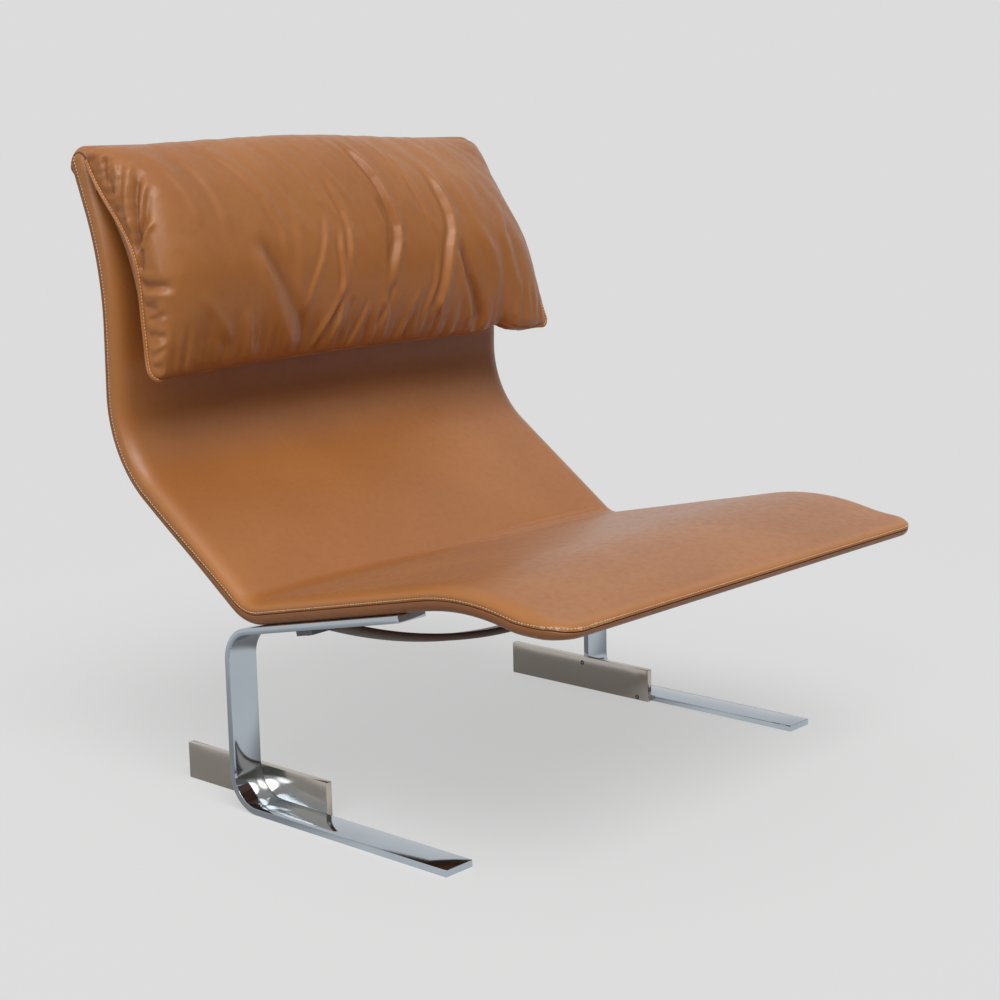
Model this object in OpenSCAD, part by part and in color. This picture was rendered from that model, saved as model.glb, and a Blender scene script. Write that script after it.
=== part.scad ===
// Cantilever lounge chair. An S-shaped leather shell rests on the arms of two C-shaped legs
// of flat bar, and a loose headrest cushion hangs over its top edge.
// The chair faces -Y and +Z is up. The origin is on the floor, below the middle of the chair.

/* [Shell] */
// Width of the shell
shell_w = 706; // [640:2:708]
// Thickness of the finished shell
shell_t = 32; // [30:0.5:38]
// Straight length at the head
head_len = 58; // [56:1:80]
// Lean of the head to the rear, from upright
head_lean = 21; // [16:0.5:24]
// Radius of the bend between head and waist
head_bend_r = 400; // [300:5:600]
// Lean of the waist, where a minus sign leans it forwards
waist_lean = -1.5; // [-3:0.5:3]
// Straight length at the waist
waist_len = 79; // [50:1:110]
// Radius of the bend between waist and ramp
back_bend_r = 140; // [110:5:220]
// Lean of the ramp that carries the lower back
ramp_lean = 54; // [48:0.5:58]
// Straight length of the ramp
ramp_len = 197; // [160:1:230]
// Radius of the bend between ramp and seat
seat_bend_r = 50; // [44:1:80]
// Rise of the seat towards the front, from level
seat_rise = 12; // [8:0.5:15]
// Straight length of the seat
seat_len = 273; // [262:1:300]
// Radius of the crest near the front of the seat
crest_r = 300; // [200:5:450]
// Drop of the nose, from level
nose_drop = 12; // [8:0.5:16]
// Straight length of the nose
nose_len = 84; // [74:1:110]
// Corner radius of the nose, seen from above
nose_corner_r = 35; // [20:1:50]
// Corner radius of the head, seen from the front
head_corner_r = 15; // [8:1:15]
// Rounding along the upper edge of the shell's sides
upper_edge_r = 12; // [8:0.5:14]
// Rounding along the lower edge of the shell's sides
lower_edge_r = 5; // [3:0.5:5.5]

/* [Upholstery] */
// Thickness of the leather
leather_t = 1.8; // [1.2:0.1:2.2]
// Height of the rear cover's turned edge at the back
lip_back = 7; // [6.5:0.5:9]
// Height of the rear cover's turned edge at the nose
lip_front = 10; // [9:0.5:11]
// Width of one webbing strap
strap_w = 50; // [40:1:60]
// Thickness of one webbing strap
strap_t = 1.5; // [1:0.1:2]
// Free space between neighbouring straps
strap_space = 16; // [8:1:30]

/* [Frame] */
// Width of a side rail
rail_w = 22; // [18:1:30]
// Thickness of a side rail
rail_t = 10; // [8:0.5:10.5]
// Distance of a side rail from the shell's side
rail_inset = 7; // [6:0.5:12]
// Width of a cross rail
cross_w = 24; // [18:1:32]
// Thickness of the plates that the arms bolt to
mount_t = 6; // [5:0.5:7]
// Width of the plates that the arms bolt to
mount_w = 44; // [40:1:52]
// Length of the plates that the arms bolt to
mount_len = 236; // [225:1:245]

/* [Legs] */
// How far a leg stands out beyond the shell's side
leg_proud = 7; // [5:1:30]
// Width of the leg bar
bar_w = 43; // [40:1:46]
// Thickness of the leg bar
bar_t = 8.5; // [8:0.5:10]
// Length of a foot, from the back of the post
foot_len = 362; // [320:1:400]
// Height of the corner where the back of the post meets the top of the arm
arm_corner_h = 224; // [190:1:260]
// Length of an arm along its slope, from that corner
arm_len = 305; // [290:1:312]
// Outer radius of the bends in a leg
leg_bend_r = 46; // [36:1:52]
// How far the post stands behind the lowest bend of the seat
post_back = 33; // [28:1:40]

/* [Stabilisers] */
// Length of a stabiliser plate
plate_len = 257; // [200:1:300]
// Height of a stabiliser plate
plate_h = 47; // [44:1:60]
// Thickness of a stabiliser plate
plate_t = 9; // [6:0.5:12]
// Overhang of a stabiliser plate behind the post
plate_back = 132; // [90:1:150]
// Distance of the lower screw from the plate's front end
plate_screw_in = 19; // [12:1:40]
// Height of the upper screw in the post
plate_screw_h = 38; // [35:1:42]

/* [Stretcher] */
// Position of the stretcher's middle along the arm, from the arm's corner
stretcher_at = 143; // [136:1:150]
// Depth of the bow below the arms
bow_drop = 62; // [40:1:80]
// Width of the stretcher bar
bow_bar_w = 27; // [20:1:32]
// Thickness of the stretcher bar
bow_bar_t = 6; // [5:0.5:8]
// Thickness of the leather on the stretcher
sleeve_t = 1.3; // [1:0.1:1.6]

/* [Headrest] */
// How far the headrest cushion reaches beyond the shell's side
cushion_over = 6; // [-30:1:6]
// Height of the headrest cushion, along the head's slope
cushion_h = 305; // [240:1:315]
// Thickness of the headrest cushion at its middle
cushion_t = 86; // [60:1:100]
// How far the cushion rises above the top of the shell's middle surface
cushion_rise = 12; // [0:1:20]
// How far the top of the cushion slopes down to its corners
top_slope = 7; // [0:1:12]
// How far the sides of the cushion draw in
side_draw = 5; // [0:1:25]
// How far the bottom of the cushion is drawn up between its corners
bottom_draw = 9; // [0:1:20]
// Thickness of the cushion's leather
cushion_leather_t = 1.4; // [1:0.1:1.8]
// Length of the flap behind the shell
flap_drop = 54; // [46:1:56]
// Distance of the flap's edge from the shell's side
flap_inset = 9; // [7:1:60]
// Thickness of the weight bar in the flap's hem
weight_t = 4; // [3:0.5:6]
// Width of the weight bar in the flap's hem
weight_w = 14; // [10:1:18]

/* [Fasteners] */
// Diameter of the stabiliser screws
plate_screw_d = 4; // [3:0.5:4.5]
// Length of the stabiliser screws
plate_screw_len = 22; // [18:1:28]
// Diameter of the arm bolts
arm_bolt_d = 6; // [5:0.5:8]
// Diameter of the stretcher bolts
bow_bolt_d = 5; // [4:0.5:6]
// Free space round a thread
thread_gap = 0.1; // [0.05:0.05:0.2]
// Free space between neighbouring layers
gap = 0.3; // [0.3:0.05:0.5]

/* [Hidden] */

// Colours
leather_c = [0.65, 0.40, 0.23];
dark_leather_c = [0.38, 0.25, 0.17];
steel_c = [0.78, 0.79, 0.81];
raw_steel_c = [0.45, 0.46, 0.48];
foam_c = [0.86, 0.82, 0.70];
strap_c = [0.20, 0.20, 0.21];
filling_c = [0.93, 0.92, 0.88];

// Overrun of cutting tools
over = 1;
// Smoothness of round parts
round_fn = 64;
// Smoothness of the holes cut in leather
slit_fn = 12;
// Largest turn of one step along a bend of the shell, in degrees
step_turn = 6;
// Stations closer than this are taken as one
merge = 0.6;

// Sizes of a fastener's head and socket, as shares of its diameter and of the head's height
head_r_share = 0.85;
head_h_share = 0.5;
socket_r_share = 0.28;
socket_deep_share = 0.7;

// The shell gets thinner at its nose, from above and from below
nose_top_fall = 3;
nose_fall_len = 52;
nose_bottom_rest = 1;
nose_taper_len = 70;
nose_taper_power = 1.3;

// The shell's middle surface, seen from the side, is a chain of straight stretches and arcs.
// A lean is the angle from straight down, and grows as the chain turns forwards.
seat_lean = 90 + seat_rise;
nose_lean = 90 - nose_drop;
function arc_len(r, turn) = r * abs(turn) * PI / 180;
SEGMENTS = [
    [head_len, 0],
    [arc_len(head_bend_r, waist_lean - head_lean), waist_lean - head_lean],
    [waist_len, 0],
    [arc_len(back_bend_r, ramp_lean - waist_lean), ramp_lean - waist_lean],
    [ramp_len, 0],
    [arc_len(seat_bend_r, seat_lean - ramp_lean), seat_lean - ramp_lean],
    [seat_len, 0],
    [arc_len(crest_r, nose_lean - seat_lean), nose_lean - seat_lean],
    [nose_len, 0]
];
SEAT = 6;
LAST = len(SEGMENTS) - 1;

function begin(i) = i == 0 ? 0 : begin(i - 1) + SEGMENTS[i - 1][0];
function first_lean(i) = i == 0 ? head_lean : first_lean(i - 1) + SEGMENTS[i - 1][1];
function along(a) = [-sin(a), -cos(a)];
function outward(a) = [-cos(a), sin(a)];
function half_turn_share(turn) = turn == 0 ? 1 : sin(turn / 2) / (turn / 2 * PI / 180);
function chord(l, turn, a) = l * half_turn_share(turn) * along(a + turn / 2);
function corner(i) = i == 0 ? [0, 0]
    : corner(i - 1) + chord(SEGMENTS[i - 1][0], SEGMENTS[i - 1][1], first_lean(i - 1));
BEGINS = [for (i = [0 : LAST + 1]) begin(i)];
LEANS = [for (i = [0 : LAST + 1]) first_lean(i)];
CORNERS = [for (i = [0 : LAST + 1]) corner(i)];
path_len = BEGINS[LAST + 1];

// The chair stands so that the seat's underside lies on the arms, centred from front to back
flap_out = shell_t / 2 + gap + leather_t;
nose_top = shell_t / 2 - nose_top_fall;
nose_tip_y = CORNERS[LAST + 1][0] - nose_top * cos(nose_lean);
bend_tangent = seat_bend_r * tan((seat_lean - ramp_lean) / 2);
seat_low = CORNERS[SEAT - 1] + bend_tangent * along(ramp_lean);
shell_y = -(flap_out + nose_tip_y) / 2;
post_y = seat_low[0] + shell_y + post_back;
seat_under = (shell_t / 2 + gap) / cos(seat_rise);
shell_z = arm_corner_h + post_back * tan(seat_rise) + seat_under - seat_low[1];

function segment(s, i = 0) = i == LAST || s <= BEGINS[i + 1] ? i : segment(s, i + 1);
function part_turn(s, i) = SEGMENTS[i][1] * (s - BEGINS[i]) / SEGMENTS[i][0];
function lean_at(s) = let (i = segment(s)) LEANS[i] + part_turn(s, i);
function middle_at(s) = let (i = segment(s))
    [shell_y, shell_z] + CORNERS[i] + chord(s - BEGINS[i], part_turn(s, i), LEANS[i]);
function at(s, d) = middle_at(s) + d * outward(lean_at(s));

// Stations along the chain, close together in its bends
function steps(turn) = max(1, ceil(abs(turn) / step_turn));
KNOTS = [for (i = [0 : LAST]) for (k = [0 : steps(SEGMENTS[i][1]) - 1])
    BEGINS[i] + SEGMENTS[i][0] * k / steps(SEGMENTS[i][1])];
function stations(s0, s1) = concat([s0], [for (k = KNOTS) if (k > s0 + merge && k < s1 - merge) k], [s1]);

// Layers of the shell, as heights above its middle surface
half_t = shell_t / 2;
cover_in = half_t - leather_t;
layer_low = -cover_in + gap;
rail_low = layer_low + mount_t;
rail_high = rail_low + rail_t;
strap_low = rail_high + gap;
strap_high = strap_low + strap_t;
foam_low = strap_high + gap;
foam_high = cover_in - gap;

// Half widths of the layers
half_w = shell_w / 2;
rail_out = half_w - rail_inset;
rail_in = rail_out - rail_w;
mount_in = rail_out - mount_w;
foam_half_w = half_w - upper_edge_r - leather_t / 2;

// A point on the chord between two neighbouring knots, so that layers in a bend stay parallel
function knot_below(s) = max([for (k = KNOTS) if (k <= s) k]);
function knot_above(s) = min([for (k = concat(KNOTS, [path_len])) if (k > s) k]);
function on_chord(s, d) = let (
    a = knot_below(s),
    b = knot_above(s)
) at(a, d) + (at(b, d) - at(a, d)) * (s - a) / (b - a);

// A band between two heights over a stretch of the shell, drawn as wide as asked for
module band(s0, s1, d0, d1, x0, x1) {
    list = stations(s0, s1);
    outline = concat([for (s = list) on_chord(s, d0)], [for (s = reversed(list)) on_chord(s, d1)]);
    translate([x0, 0, 0])
        rotate([90, 0, 90])
            linear_extrude(height = x1 - x0)
                polygon(outline);
}

// One piece on the right, or its mirror image on the left
module side(left) {
    if (left) mirror([1, 0, 0]) children();
    else children();
}

// Leather covers. Each ring is the cover's section at one station, as points [x, height].
ring_arc = 4;
tip_shares = [1, 0.966, 0.866, 0.707, 0.5, 0.259, 0];
function corner_in(e, r) = e >= r ? 0 : r - sqrt(max(0, r * r - (r - e) * (r - e)));
function clamp01(v) = min(1, max(0, v));
function half_w_at(s) = half_w - corner_in(s + half_t, head_corner_r)
    - corner_in(path_len - s, nose_corner_r);
function round_end(s) = sqrt(half_t * half_t - s * s);
function top_at(s) = s < 0 ? round_end(s)
    : half_t - (half_t - nose_top) * pow(clamp01(1 - (path_len - s) / nose_fall_len), 2);
function bottom_at(s) = s < 0 ? -round_end(s)
    : -half_t + (half_t - nose_bottom_rest) * pow(clamp01(1 - (path_len - s) / nose_taper_len), nose_taper_power);
function lip_at(s) = lip_back
    + (lip_front - lip_back) * clamp01((s - BEGINS[SEAT]) / (path_len - BEGINS[SEAT]));
function seam_at(s) = s < 0 ? lip_back - half_t : bottom_at(s) + lip_at(s);

// Section with rounded corners: up the right side, across at height d1 and down the left side
function arch(w, d0, d1, r, side_sign) = concat(
    [[-w, d0]],
    [for (k = [0 : ring_arc]) let (a = 90 * k / ring_arc)
        [-w + r - r * cos(a), d1 - side_sign * (r - r * sin(a))]],
    [for (k = [ring_arc : -1 : 0]) let (a = 90 * k / ring_arc)
        [w - r + r * cos(a), d1 - side_sign * (r - r * sin(a))]],
    [[w, d0]]
);
arch_n = 2 * ring_arc + 4;
function reversed(v) = [for (i = [len(v) - 1 : -1 : 0]) v[i]];
function flat_row(w, d) = [for (k = [0 : arch_n - 1]) [-w + 2 * w * k / (arch_n - 1), d]];
corner_limit_share = 0.8;
function fit_r(r, h) = min(r, corner_limit_share * h);
// Lowest ring that is hollow, as a multiple of the leather
hollow_shares = 2.5;

// The ring of a cover: its outer arch, and its inner arch or a closed bottom
function cover_ring(s, seam, face, r, side_sign) = let (
    w = half_w_at(s),
    h = abs(face - seam),
    inner_face = face - side_sign * leather_t,
    open = h > hollow_shares * leather_t,
    outer = arch(w, seam, face, fit_r(r, h), side_sign),
    inner = open
        ? arch(w - leather_t, seam, inner_face, fit_r(r, h) - leather_t / 2, side_sign)
        : flat_row(w - leather_t, seam)
) concat(outer, reversed(inner));

function to_space(ring, s) = [for (p = ring) let (q = at(s, p[1])) [p[0], q[0], q[1]]];
function mean(v) = v * [for (i = v) 1] / len(v);
function mean_point(v) = [for (c = [0 : 2]) mean([for (p = v) p[c]])];

// Solid skin over a row of closed rings, with a fan over each end
module lofted(rings, flip) {
    m = len(rings[0]);
    n = len(rings);
    points = concat([for (r = rings) for (p = r) p], [mean_point(rings[0]), mean_point(rings[n - 1])]);
    sides = [for (i = [0 : n - 2]) for (j = [0 : m - 1]) let (
        a = i * m + j,
        b = i * m + (j + 1) % m
    ) each [[a, b, b + m], [a, b + m, a + m]]];
    caps = [for (j = [0 : m - 1]) let (k = (j + 1) % m, z = (n - 1) * m)
        each [[k, j, n * m], [z + j, z + k, n * m + 1]]];
    faces = concat(sides, caps);
    polyhedron(points, flip ? faces : [for (f = faces) reversed(f)]);
}

head_stations = [for (f = tip_shares) if (f < 1 && f > 0) -half_t * f];
nose_stations = concat(
    [path_len - nose_fall_len],
    [for (f = reversed(tip_shares)) path_len - nose_corner_r * (1 - f)]
);
cover_stations = concat(stations(0, path_len - nose_taper_len), nose_stations);

module front_cover() {
    list = concat(head_stations, cover_stations);
    color(leather_c)
        lofted([for (s = list)
            to_space(cover_ring(s, max(seam_at(s), bottom_at(s)), top_at(s), upper_edge_r, 1), s)], false);
}

module rear_cover() {
    rear_head = [for (s = head_stations) if (bottom_at(s) < seam_at(s) - 2 * gap) s];
    list = concat(rear_head, cover_stations);
    color(dark_leather_c)
        difference() {
            lofted([for (s = list)
                to_space(cover_ring(s, seam_at(s) - gap, bottom_at(s), lower_edge_r, -1), s)], true);
            for (left = [false, true])
                side(left)
                    arm_bolt_places()
                        cylinder(r = arm_bolt_d / 2 + 2 * gap, h = 2 * arm_bolt_len, center = true, $fn = slit_fn);
        }
}

// Padding and webbing
nose_inset = 50;
module front_foam() {
    color(foam_c)
        band(0, path_len - nose_inset, foam_low, foam_high, -foam_half_w, foam_half_w);
}

module rear_foam() {
    color(foam_c)
        band(0, path_len - nose_inset - cross_w, layer_low, rail_low - gap, gap - mount_in, mount_in - gap);
}

strap_pitch = strap_w + strap_space;
strap_hold_share = 0.875;
strap_half_w = rail_in + strap_hold_share * rail_w;
module straps(s0, s1) {
    count = floor((s1 - s0 + strap_space) / strap_pitch);
    color(strap_c)
        for (k = [0 : count - 1])
            band(s0 + k * strap_pitch, s0 + k * strap_pitch + strap_w, strap_low, strap_high,
                -strap_half_w, strap_half_w);
}
module back_straps() {
    straps(cross_w + strap_space, BEGINS[SEAT - 1] - strap_space);
}
module seat_straps() {
    straps(BEGINS[SEAT] + strap_space, path_len - nose_inset - cross_w - strap_space);
}

// Steel frame inside the shell
rail_end = path_len - nose_inset - strap_space / 2;
module side_rail() {
    color(raw_steel_c)
        band(0, rail_end, rail_low, rail_high, -rail_out, -rail_in);
}
module cross_rail(s) {
    color(raw_steel_c)
        band(s, s + cross_w, rail_low, rail_high, -rail_in, rail_in);
}
module side_rail_right() { side(false) side_rail(); }
module side_rail_left() { side(true) side_rail(); }
module top_rail() { cross_rail(0); }
module seat_rail() { cross_rail(BEGINS[SEAT] + strap_space); }
module front_rail() { cross_rail(rail_end - cross_w); }

// Plates under the side rails, tapped for the arm bolts
mount_s = BEGINS[SEAT] + gap;
module mount_plate() {
    color(raw_steel_c)
        difference() {
            band(mount_s, mount_s + mount_len, layer_low, rail_low, -rail_out, -mount_in);
            arm_bolt_places()
                cylinder(r = arm_bolt_d / 2 + thread_gap, h = 2 * arm_bolt_len, center = true, $fn = round_fn);
        }
}
module mount_plate_right() { side(false) mount_plate(); }
module mount_plate_left() { side(true) mount_plate(); }

// Legs. The arm's own frame has its origin at the corner of post and arm, its y axis along
// the arm and its z axis square to it.
leg_out = half_w + leg_proud;
leg_in = leg_out - bar_w;
leg_mid = leg_out - bar_w / 2;
module arm_frame() {
    translate([0, post_y, arm_corner_h])
        rotate([-seat_rise, 0, 0])
            mirror([0, 1, 0])
                children();
}
arm_bolt_n = 3;
arm_bolt_first = 79;
arm_bolt_space = 95;
arm_bolt_len = bar_t + gap + leather_t + gap + mount_t;
module arm_bolt_places() {
    arm_frame()
        for (k = [0 : arm_bolt_n - 1])
            translate([-leg_mid, arm_bolt_first + k * arm_bolt_space, 0])
                children();
}
module bow_bolt_places() {
    arm_frame()
        for (k = [-1, 1])
            translate([-leg_mid + k * bow_bolt_space / 2, stretcher_at, -bar_t])
                children();
}
module plate_screw_places() {
    translate([-leg_in + plate_t, post_y - bar_t / 2, plate_screw_h])
        rotate([0, -90, 0])
            children();
    translate([-leg_in + plate_t, plate_front + plate_screw_in, bar_t / 2])
        rotate([0, -90, 0])
            children();
}

// A bend in the leg bar, round an axis along X: the quarter or smaller turn from one angle on
module leg_bend(y, z, from, turn) {
    translate([-leg_out, y, z])
        rotate([0, 90, 0])
            rotate([0, 0, from])
                rotate_extrude(angle = turn, $fn = 2 * round_fn)
                    translate([leg_bend_r - bar_t, 0])
                        square([bar_t, bar_w]);
}

arm_tangent = leg_bend_r * tan((90 - seat_rise) / 2);
module leg_bar() {
    bend_y = post_y - leg_bend_r;
    translate([-leg_out, post_y - foot_len, 0])
        cube([bar_w, foot_len - leg_bend_r, bar_t]);
    leg_bend(bend_y, leg_bend_r, 0, 90);
    translate([-leg_out, post_y - bar_t, leg_bend_r])
        cube([bar_w, bar_t, arm_corner_h - arm_tangent - leg_bend_r]);
    leg_bend(bend_y, arm_corner_h - arm_tangent, 90, 90 - seat_rise);
    arm_frame()
        translate([-leg_out, arm_tangent, -bar_t])
            cube([bar_w, arm_len - arm_tangent, bar_t]);
}

module leg() {
    color(steel_c)
        difference() {
            leg_bar();
            arm_bolt_places()
                translate([0, 0, -bar_t - over]) {
                    cylinder(r = arm_bolt_d / 2 + thread_gap, h = bar_t + 2 * over, $fn = round_fn);
                    cylinder(r = arm_head_r + thread_gap, h = over + arm_head_h, $fn = round_fn);
                }
            bow_bolt_places()
                cylinder(r = bow_bolt_d / 2 + thread_gap, h = bow_bolt_deep + thread_gap, $fn = round_fn);
            plate_screw_places()
                cylinder(r = plate_screw_d / 2 + thread_gap, h = plate_screw_len + over, $fn = round_fn);
        }
}
module leg_right() { side(false) leg(); }
module leg_left() { side(true) leg(); }

// Stabiliser plates on the inner edges of the legs
plate_front = post_y + plate_back - plate_len;
plate_head_r = plate_screw_d * head_r_share;
plate_head_h = plate_screw_d * head_h_share;
module stabiliser() {
    color(steel_c)
        difference() {
            translate([-leg_in, plate_front, 0])
                cube([plate_t, plate_len, plate_h]);
            plate_screw_places()
                translate([0, 0, -over]) {
                    cylinder(r = plate_screw_d / 2 + thread_gap, h = plate_t + 2 * over, $fn = round_fn);
                    cylinder(r = plate_head_r + thread_gap, h = over + plate_head_h, $fn = round_fn);
                }
        }
}
module stabiliser_right() { side(false) stabiliser(); }
module stabiliser_left() { side(true) stabiliser(); }

// Fasteners: a shaft, and a flush head with a hexagonal socket
module flush_screw(d, length, head_r, head_h) {
    difference() {
        union() {
            cylinder(r = d / 2, h = length, $fn = round_fn);
            cylinder(r = head_r, h = head_h, $fn = round_fn);
        }
        translate([0, 0, -over])
            cylinder(r = socket_r_share * d, h = over + socket_deep_share * head_h, $fn = 6);
    }
}
module stabiliser_screws() {
    color(raw_steel_c)
        plate_screw_places()
            flush_screw(plate_screw_d, plate_screw_len, plate_head_r, plate_head_h);
}
module stabiliser_screws_right() { side(false) stabiliser_screws(); }
module stabiliser_screws_left() { side(true) stabiliser_screws(); }

arm_head_r = arm_bolt_d * head_r_share;
arm_head_h = arm_bolt_d * head_h_share;
module arm_bolts() {
    color(steel_c)
        arm_bolt_places()
            translate([0, 0, -bar_t])
                flush_screw(arm_bolt_d, arm_bolt_len, arm_head_r, arm_head_h);
}
module arm_bolts_right() { side(false) arm_bolts(); }
module arm_bolts_left() { side(true) arm_bolts(); }

// Stretcher: a flat bar under both arms, bowed down between them
bow_bolt_space = bar_w / 2;
bow_hole_rest = 2;
bow_bolt_deep = bar_t - bow_hole_rest;
bow_head_r = bow_bolt_d * head_r_share;
bow_head_h = bow_bolt_d * head_h_share;
bow_side_space = 6;
bow_half = leg_in - bow_side_space;
bow_end = leg_out - bow_hole_rest;
bow_r = (bow_half * bow_half + bow_drop * bow_drop) / (2 * bow_drop);
bow_steps = 14;
bow_xs = [for (k = [-bow_steps : bow_steps]) bow_half * k / bow_steps];
function bow_slope(x) = asin(x / bow_r);
function bow_low(x) = bow_r - bow_drop - bow_r * cos(bow_slope(x));
function bow_point(x, d) = [x + d * sin(bow_slope(x)), bow_low(x) - d * cos(bow_slope(x))];

// The bow between two depths below its upper face, with a flat end under each arm when asked
module bow_strip(width, high, low, flat_ends) {
    upper = [for (x = bow_xs) bow_point(x, high)];
    lower = [for (x = reversed(bow_xs)) bow_point(x, low)];
    ends = [[bow_end, -high], [bow_end, -low], [-bow_end, -low], [-bow_end, -high]];
    outline = flat_ends ? concat(upper, [ends[0], ends[1]], lower, [ends[2], ends[3]])
        : concat(upper, lower);
    arm_frame()
        translate([0, stretcher_at + width / 2, -bar_t])
            rotate([90, 0, 0])
                linear_extrude(height = width)
                    polygon(outline);
}
module bow_holes() {
    bow_bolt_places()
        translate([0, 0, -bow_bar_t - over])
            cylinder(r = bow_bolt_d / 2 + thread_gap, h = bow_bar_t + 2 * over, $fn = round_fn);
}
module stretcher_bar() {
    color(raw_steel_c)
        difference() {
            bow_strip(bow_bar_w, 0, bow_bar_t, true);
            side(false) bow_holes();
            side(true) bow_holes();
        }
}

sleeve_gap = 0.3;
sleeve_out = sleeve_gap + sleeve_t;
module stretcher_sleeve() {
    color(dark_leather_c)
        difference() {
            bow_strip(bow_bar_w + 2 * sleeve_out, -sleeve_out, bow_bar_t + sleeve_out, false);
            bow_strip(bow_bar_w + 2 * sleeve_gap, -sleeve_gap, bow_bar_t + sleeve_gap, true);
        }
}
module stretcher_bolts() {
    color(steel_c)
        bow_bolt_places()
            translate([0, 0, -bow_bar_t - bow_head_h])
                flush_screw(bow_bolt_d, bow_bar_t + bow_head_h + bow_bolt_deep, bow_head_r, bow_head_h);
}
module stretcher_bolts_right() { side(false) stretcher_bolts(); }
module stretcher_bolts_left() { side(true) stretcher_bolts(); }

// Headrest cushion: two bulged faces joined by one seam all round. Its frame runs down the
// head's slope from the top of the shell's middle surface.
cushion_rear = flap_out + gap;
cushion_half_w = half_w + cushion_over;
cushion_us = 9;
cushion_vs = 12;
seam_rest = 0.5;
seam_half = cushion_leather_t + gap + seam_rest;
seam_rise_share = 0.3;
seam_end_share = 0.14;
seam_power = 2.5;
bulge_power = 0.55;
bulge_skew = 1.25;
rear_power = 0.12;
side_power = 6;
top_corner_r = 25;
bottom_corner_r = 15;
function cushion_seam(v) = cushion_rear + seam_half
    + cushion_t * (seam_rise_share * pow(sin(180 * v), seam_power) + seam_end_share * v);
function spread(k, n) = sin(90 * k / n);
function across(u) = pow(1 - pow(abs(u), side_power), bulge_power);
function front_full(v) = pow(sin(180 * pow(v, bulge_skew)), bulge_power);
function rear_full(v) = pow(sin(180 * v), rear_power);
function head_point(x, s, d) = let (q = [shell_y, shell_z] + s * along(head_lean) + d * outward(head_lean))
    [x, q[0], q[1]];

// One point of a face: u runs over the width, v down the height, and inset moves it inwards
function cushion_point(u, v, front, inset) = let (
    half = cushion_half_w - inset - side_draw * sin(180 * v),
    edge = cushion_half_w * (1 - abs(u)),
    high = inset - cushion_rise + top_slope * u * u + corner_in(edge, top_corner_r),
    low = cushion_h - cushion_rise - inset - bottom_draw * (1 - u * u) - corner_in(edge, bottom_corner_r),
    seam = cushion_seam(v),
    face = front
        ? seam + seam_half - inset + (cushion_rear + cushion_t - seam - seam_half) * across(u) * front_full(v)
        : seam - seam_half + inset - (seam - seam_half - cushion_rear) * across(u) * rear_full(v)
) head_point(half * u, high + v * (low - high), face);

module cushion(inset) {
    us = [for (k = [-cushion_us : cushion_us]) spread(k, cushion_us)];
    vs = [for (k = [-cushion_vs / 2 : cushion_vs / 2]) (1 + spread(k, cushion_vs / 2)) / 2];
    nu = len(us);
    nv = len(vs);
    face_n = nu * nv;
    points = concat(
        [for (v = vs) for (u = us) cushion_point(u, v, true, inset)],
        [for (v = vs) for (u = us) cushion_point(u, v, false, inset)]
    );
    sheet = [for (j = [0 : nv - 2]) for (i = [0 : nu - 2]) let (a = j * nu + i)
        each [[a, a + 1, a + nu + 1], [a, a + nu + 1, a + nu]]];
    rim = concat(
        [for (i = [0 : nu - 1]) i],
        [for (j = [1 : nv - 1]) j * nu + nu - 1],
        [for (i = [nu - 2 : -1 : 0]) (nv - 1) * nu + i],
        [for (j = [nv - 2 : -1 : 1]) j * nu]
    );
    rim_n = len(rim);
    edge = [for (i = [0 : rim_n - 1]) let (a = rim[i], b = rim[(i + 1) % rim_n])
        each [[b, a, a + face_n], [b, a + face_n, b + face_n]]];
    polyhedron(points, concat(
        sheet,
        [for (f = sheet) [f[0] + face_n, f[2] + face_n, f[1] + face_n]],
        edge
    ));
}
module headrest_cover() {
    color(leather_c)
        difference() {
            cushion(0);
            cushion(cushion_leather_t);
        }
}
module headrest_filling() {
    color(filling_c)
        cushion(cushion_leather_t + gap);
}

// Flap over the top of the shell, with a steel bar in its hem. Its frame is the cushion's.
module head_frame(width) {
    translate([-width / 2, shell_y, shell_z])
        rotate([-head_lean, 0, 0])
            rotate([0, 90, 0])
                linear_extrude(height = width)
                    children();
}
flap_w = shell_w - 2 * flap_inset;
flap_in = half_t + gap;
hem_t = weight_t + 2 * gap + 2 * leather_t;
flap_front = 50;
module flap_section() {
    difference() {
        circle(r = flap_out, $fn = 2 * round_fn);
        circle(r = flap_in, $fn = 2 * round_fn);
        translate([0, -2 * flap_out])
            square([2 * flap_out, 4 * flap_out]);
    }
    translate([0, -flap_out])
        square([flap_front, leather_t]);
    translate([0, flap_in])
        square([flap_drop - weight_w, leather_t]);
    difference() {
        translate([flap_drop - weight_w - 2 * leather_t, flap_in])
            square([weight_w + 2 * leather_t, hem_t]);
        translate([flap_drop - weight_w - leather_t - gap, flap_in + leather_t])
            square([weight_w + 2 * gap, weight_t + 2 * gap]);
    }
}
module headrest_flap() {
    color(dark_leather_c)
        head_frame(flap_w)
            flap_section();
}
module flap_weight() {
    color(raw_steel_c)
        head_frame(flap_w - 2 * leather_t)
            translate([flap_drop - weight_w - leather_t, flap_in + leather_t + gap])
                square([weight_w, weight_t]);
}

front_cover();
rear_cover();
front_foam();
rear_foam();
back_straps();
seat_straps();
side_rail_right();
side_rail_left();
top_rail();
seat_rail();
front_rail();
mount_plate_right();
mount_plate_left();
leg_right();
leg_left();
stabiliser_right();
stabiliser_left();
stabiliser_screws_right();
stabiliser_screws_left();
arm_bolts_right();
arm_bolts_left();
stretcher_bar();
stretcher_sleeve();
stretcher_bolts_right();
stretcher_bolts_left();
headrest_cover();
headrest_filling();
headrest_flap();
flap_weight();
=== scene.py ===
"""Looks of the cantilever lounge chair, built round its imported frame.

The chair faces -Y and +Z is up. Shapes are worked out in millimetres, and Blender holds metres.
"""

import math

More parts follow.
